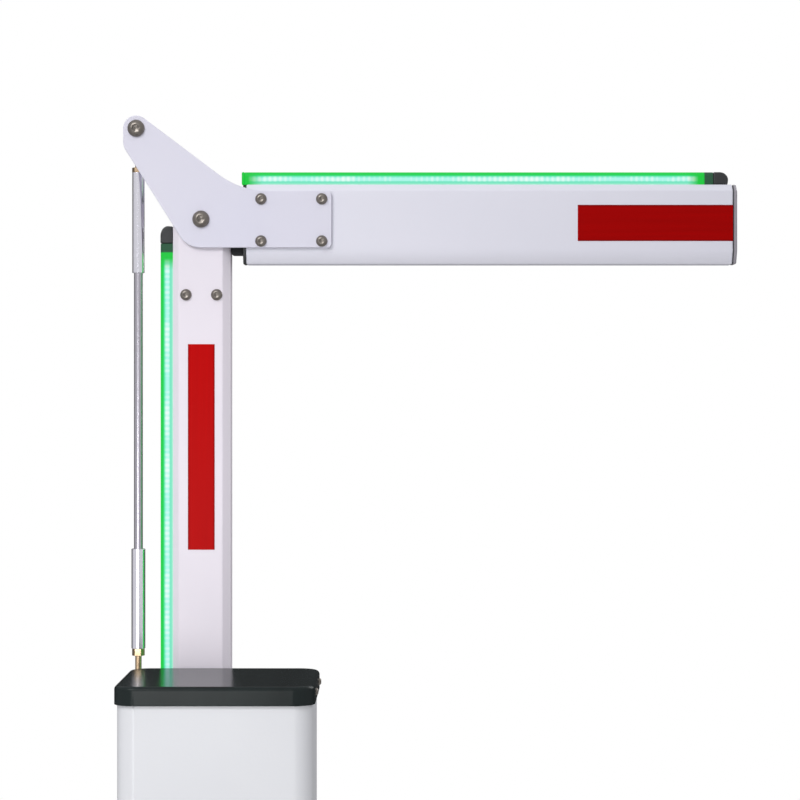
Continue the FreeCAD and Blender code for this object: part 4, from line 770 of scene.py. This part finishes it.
def lit_lens(name, across, outer, inner, along, start, end):
    """Milky silicone lit from within: deep green along its outer side, near white over the diodes, teal
    beside the boom. It is plain green where the diodes stop, and unlit for its last centimetre."""
    material, tree, place = blank_finish(name)
    axes = add_node(tree, "ShaderNodeSeparateXYZ", links={0: place})
    spread = add_node(tree, "ShaderNodeMapRange", {"From Min": outer, "From Max": inner},
                      {0: axes.outputs[across]})
    bands = add_node(tree, "ShaderNodeValToRGB", links={0: spread})
    stops = bands.color_ramp.elements
    stops[0].position, stops[0].color = 0.20, linear("12CE40")
    stops[1].position, stops[1].color = 0.98, linear("B5F5DC")
    for position, code in ((0.30, "35DE8A"), (0.38, "7FF0D0"), (0.50, "B4F8F0"), (0.66, "B0F7EE"),
                           (0.76, "72E6C4"), (0.86, "7FE3C4")):
        stops.new(position).color = linear(code)
    core = add_node(tree, "ShaderNodeValToRGB", links={0: spread})
    core_stops = core.color_ramp.elements
    core_stops[0].position, core_stops[0].color = 0.30, (0, 0, 0, 1)
    core_stops[1].position, core_stops[1].color = 0.46, (1, 1, 1, 1)
    core_stops.new(0.64).color = (1, 1, 1, 1)
    core_stops.new(0.78).color = (0, 0, 0, 1)
    beat = add_node(tree, "ShaderNodeMath", {"operation": "MULTIPLY", 1: 2 * math.pi / LED_PITCH},
                    {0: axes.outputs[along]})
    wave = add_node(tree, "ShaderNodeMath", {"operation": "COSINE"}, {0: beat})
    cloud = add_node(tree, "ShaderNodeTexNoise", {"Scale": 1 / 0.035, "Detail": 2.0}, {"Vector": place})
    uneven = add_node(tree, "ShaderNodeMapRange", {"From Min": 0.35, "From Max": 0.65, "To Min": -0.25,
                                                   "To Max": 0.75}, {0: cloud})
    spot = add_node(tree, "ShaderNodeMath", {"operation": "MULTIPLY_ADD", 1: 0.30, "use_clamp": True},
                    {0: wave, 2: uneven})
    gleam = add_node(tree, "ShaderNodeMath", {"operation": "MULTIPLY"}, {0: spot, 1: core})
    near = add_node(tree, "ShaderNodeMapRange", {"From Min": start + 0.004, "From Max": start + 0.022},
                    {0: axes.outputs[along]})
    lit_end = end - UNLIT_END
    far = add_node(tree, "ShaderNodeMapRange", {"From Min": lit_end - 0.022, "From Max": lit_end - 0.008,
                                                "To Min": 1.0, "To Max": 0.0}, {0: axes.outputs[along]})
    lively = add_node(tree, "ShaderNodeMath", {"operation": "MULTIPLY"}, {0: near, 1: far})
    bright = add_node(tree, "ShaderNodeMix", {"data_type": "RGBA", 7: linear("F2FFFD")},
                      {0: gleam, 6: bands})
    glow = add_node(tree, "ShaderNodeMix", {"data_type": "RGBA", 6: linear("0AC42E")},
                    {0: lively, 7: bright.outputs[2]})
    unlit = add_node(tree, "ShaderNodeMapRange", {"From Min": lit_end - 0.0015, "From Max": lit_end},
                     {0: axes.outputs[along]})
    lens = add_node(tree, "ShaderNodeMix", {"data_type": "RGBA", 7: linear("26342C")},
                    {0: unlit, 6: glow.outputs[2]})
    shader = add_node(tree, "ShaderNodeBsdfPrincipled",
                      {"Base Color": linear("1C4A30"), "Roughness": 0.35, "IOR": 1.41,
                       "Specular IOR Level": 0.2, "Emission Strength": 0.92},
                      {"Emission Color": lens.outputs[2]})
    add_node(tree, "ShaderNodeOutputMaterial", links={0: shader})
    return material


def bullet_plug(low, high, across, along, outward, body, name):
    """A moulded end plug: square where it meets the lens and rounded over at its outer corner."""
    length, rise = high[along] - low[along], high[across] - low[across]
    outline = [(0, 0), (0, rise)]
    for step in range(9):
        turn = math.pi / 2 * step / 8
        outline.append((length * (0.45 + 0.55 * math.sin(turn)), rise * (0.42 + 0.58 * math.cos(turn))))
    outline.append((length - 0.0006, 0))
    rings = []
    for y in (low.y, high.y):
        rings.append([])
        for run, lift in outline:
            point = [0.0, y, 0.0]
            point[along] = low[along] + run
            point[across] = low[across] + lift if outward > 0 else high[across] - lift
            rings[-1].append(point)
    finished(soften(bridged(rings), 0.0022, corner=60, steps=3), name, body, BLACK_NYLON)


BOARD_LACQUER = moulded_plastic("solder_lacquer_white", "DCE5DF", "D2DDD6", 0.35)
LED_PITCH = 0.0065
UNLIT_END = 0.010
strips = (("lower", "lower_arm", 0, 2, -1), ("upper", "upper_arm", 2, 0, 1))
for name, body, across, along, outward in strips:
    low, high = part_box(f"{name}_led_lens")
    outer, inner = (low[across], high[across]) if outward < 0 else (high[across], low[across])
    LENS = lit_lens(f"lit_silicone_{name}", across, outer, inner, along, low[along], high[along])
    finished(copied(f"{name}_led_lens"), f"{name}_light_lens", body, LENS, [f"{name}_led_lens"])
    kept(f"{name}_led_board", BOARD_LACQUER)
    near_cap, far_cap = sorted(islands(f"{name}_led_caps"), key=lambda box: box[0][along])
    bullet_plug(*far_cap, across, along, outward, body, f"{name}_light_end_plug")
    finished(soften(block(*near_cap), 0.0016, corner=60, steps=3), f"{name}_light_tail", body, LENS,
             [f"{name}_led_caps"])


# ---- Reflective tapes -----------------------------------------------------------------------
# Red prismatic sheeting, 0.3 mm thick, stuck to both faces of each boom. Its clear face lies
# over ranks of cube corner prisms, which show as a faint lattice and as streaks along the roll.

def prismatic_sheet(name, colour, drift, node, lengthwise):
    """Acrylic sheeting over prisms. Real prisms are 0.2 mm wide, so the lattice is drawn 4.5 mm wide.
    Its colour is darker towards its long edges."""
    material, tree, place = blank_finish(name)
    stretch = [260.0, 260.0, 260.0]
    stretch[lengthwise] = 6.0
    rolled = add_node(tree, "ShaderNodeMapping", {"Scale": stretch}, {"Vector": place})
    streak = add_node(tree, "ShaderNodeTexNoise", {"Scale": 1.0, "Detail": 3.0}, {"Vector": rolled})
    prisms = add_node(tree, "ShaderNodeTexVoronoi", {"feature": "DISTANCE_TO_EDGE", "Scale": 1 / 0.0045,
                                                     "Randomness": 0.0}, {"Vector": place})
    dye = add_node(tree, "ShaderNodeMix", {"data_type": "RGBA", 6: linear(colour), 7: linear(drift)},
                   {0: streak})
    low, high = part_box(node)
    crosswise = 2 - lengthwise
    axes = add_node(tree, "ShaderNodeSeparateXYZ", links={0: place})
    middle = (low[crosswise] + high[crosswise]) / 2
    off_middle = add_node(tree, "ShaderNodeMath", {"operation": "SUBTRACT", 1: middle},
                          {0: axes.outputs[crosswise]})
    away = add_node(tree, "ShaderNodeMath", {"operation": "ABSOLUTE"}, {0: off_middle})
    half = (high[crosswise] - low[crosswise]) / 2
    # Darker towards the tape's long edges.
    darkened_edge = add_node(tree, "ShaderNodeMapRange", {"From Min": half - 0.0026, "From Max": half - 0.0004,
                                                   "To Max": 0.55}, {0: away})
    edged = add_node(tree, "ShaderNodeMix", {"data_type": "RGBA", 7: linear("5E0102")},
                     {0: darkened_edge, 6: dye.outputs[2]})
    end_finish(tree, edged.outputs[2], prisms.outputs["Distance"], 0.15, 0.0002,
               {"Roughness": 0.35, "IOR": 1.49, "Specular IOR Level": 0.05})
    return material


kept("lower_tapes", prismatic_sheet("red_prismatic_sheet_standing", "C40102", "B40102", "lower_tapes", 2))
kept("upper_tapes", prismatic_sheet("red_prismatic_sheet_folding", "AB0101", "960101", "upper_tapes", 0))


# ---- Push rod -------------------------------------------------------------------------------
# A drawn steel tube with threaded sleeves at its ends. Ball joint eyes screw into the sleeves
# and are locked by nuts, so that the rod's length sets how square the boom stands.

DRAWN_ZINC = turned_metal("bright_zinc_tube", "C2BFC7", "AFACB5", 0.30, depth=0.00004)
YELLOW_ZINC = turned_metal("yellow_passivated_zinc", "D2B896", "B89E80", 0.34)
SLEEVE_METAL = turned_metal("bright_anodised_sleeve", "F2F1F8", "E6E5EE", 0.2, depth=0.00003)
finished(copied("rod_tube"), "push_rod_tube", "push_rod", DRAWN_ZINC, ["rod_tube"])
dressed("rod_sleeves", "push_rod_sleeves", "push_rod", SLEEVE_METAL, "zinc_steel", edge=0.0006)
dressed("rod_nuts", "push_rod_lock_nuts", "push_rod", YELLOW_ZINC, "yellow_zinc", edge=0.0005, shortest=0.003)
dressed("rod_ends", "push_rod_eyes", "push_rod", YELLOW_ZINC, "yellow_zinc", edge=0.0004, shortest=0.004)
finished(copied("rod_balls"), "push_rod_balls", "push_rod", GROUND_STEEL, ["rod_balls"])


# ---- Floor, light and camera ----------------------------------------------------------------
# A plain pale floor under soft, even studio light, seen level with the folding boom.

floor_shape = bmesh.new()
bmesh.ops.create_grid(floor_shape, x_segments=2, y_segments=2, size=3.9)
floor_mesh = bpy.data.meshes.new("studio_floor")
floor_shape.to_mesh(floor_mesh)
floor_shape.free()
floor = shown("studio_floor", floor_mesh)
floor_paint = powder_coat("painted_floor", "DEDEDC", "D8D8D6", 0.7, 0.01)
floor_tree = floor_paint.node_tree
floor_output = next(node for node in floor_tree.nodes if node.type == "OUTPUT_MATERIAL")
reach = add_node(floor_tree, "ShaderNodeVectorMath", {"operation": "LENGTH"},
                 {0: add_node(floor_tree, "ShaderNodeTexCoord").outputs["Object"]})
fade = add_node(floor_tree, "ShaderNodeMapRange", {"interpolation_type": "SMOOTHSTEP", "From Min": 1.4,
                                                   "From Max": 3.8}, {0: reach.outputs["Value"]})
faded = add_node(floor_tree, "ShaderNodeMixShader",
                 links={0: fade.outputs[0], 1: floor_output.inputs[0].links[0].from_socket,
                        2: add_node(floor_tree, "ShaderNodeBsdfTransparent")})
floor_tree.links.new(faded.outputs[0], floor_output.inputs[0])
floor_mesh.materials.append(floor_paint)

world = bpy.data.worlds.new("studio")
bpy.context.scene.world = world
world.use_nodes = True
world.node_tree.nodes.clear()
sky = world.node_tree
ray = add_node(sky, "ShaderNodeLightPath")
direction = add_node(sky, "ShaderNodeSeparateXYZ",
                     links={0: add_node(sky, "ShaderNodeTexCoord").outputs["Generated"]})
height = add_node(sky, "ShaderNodeMapRange", {"From Min": -0.4, "From Max": 0.4, "To Min": 0.30,
                                              "To Max": 0.64}, {0: direction.outputs[2]})
# What polished faces mirror: a bright room ahead and overhead, and a dark wall behind the gate.
wall = add_node(sky, "ShaderNodeMapRange", {"From Min": -0.1, "From Max": 0.65, "To Min": 0.72,
                                            "To Max": 0.04}, {0: direction.outputs[1]})
overhead = add_node(sky, "ShaderNodeMapRange", {"From Min": 0.30, "From Max": 0.75},
                    {0: direction.outputs[2]})
mirrored = add_node(sky, "ShaderNodeMix", {"data_type": "FLOAT", 3: 0.85}, {0: overhead, 2: wall})
ambient = add_node(sky, "ShaderNodeBackground", {"Color": (0.97, 0.97, 1.0, 1)}, {"Strength": height})
gloss = add_node(sky, "ShaderNodeBackground", {"Color": (0.98, 0.98, 1.0, 1)}, {"Strength": mirrored})
backdrop = add_node(sky, "ShaderNodeBackground", {"Color": (1, 1, 1, 1), "Strength": 1.0})
bounced = add_node(sky, "ShaderNodeMixShader", links={0: ray.outputs["Is Glossy Ray"], 1: ambient,
                                                      2: gloss})
seen = add_node(sky, "ShaderNodeMixShader", links={0: ray.outputs["Is Camera Ray"], 1: bounced,
                                                   2: backdrop})
add_node(sky, "ShaderNodeOutputWorld", links={0: seen})


def soft_light(name, place, aim, size, power, spread=180):
    """A round light of this size, aimed at a point and hidden from the camera."""
    lamp = bpy.data.lights.new(name, "AREA")
    lamp.shape, lamp.size, lamp.energy, lamp.spread = "DISK", size, power, math.radians(spread)
    light = shown(name, lamp)
    light.location = place
    light.rotation_euler = (Vector(aim) - Vector(place)).to_track_quat("-Z", "Y").to_euler()
    light.visible_camera = False


soft_light("key", (-1.1, -2.2, 3.2), (0.2, 0.1, 1.3), 1.6, 47)
soft_light("low_front", (-0.3, -1.6, 0.95), (-0.05, 0.13, 1.0), 0.7, 0.8, spread=60)
soft_light("back", (2.4, 2.0, 2.6), (0.2, 0.1, 0.9), 2.0, 30)

lens = bpy.data.cameras.new("camera")
lens.lens = 109.3
lens.sensor_width = 36
camera = shown("camera", lens)
camera.location = (0.2135, -2.875, 1.290)
camera.rotation_euler = (math.pi / 2, 0, 0)
bpy.context.scene.camera = camera
bpy.context.scene.view_settings.view_transform = "Standard"
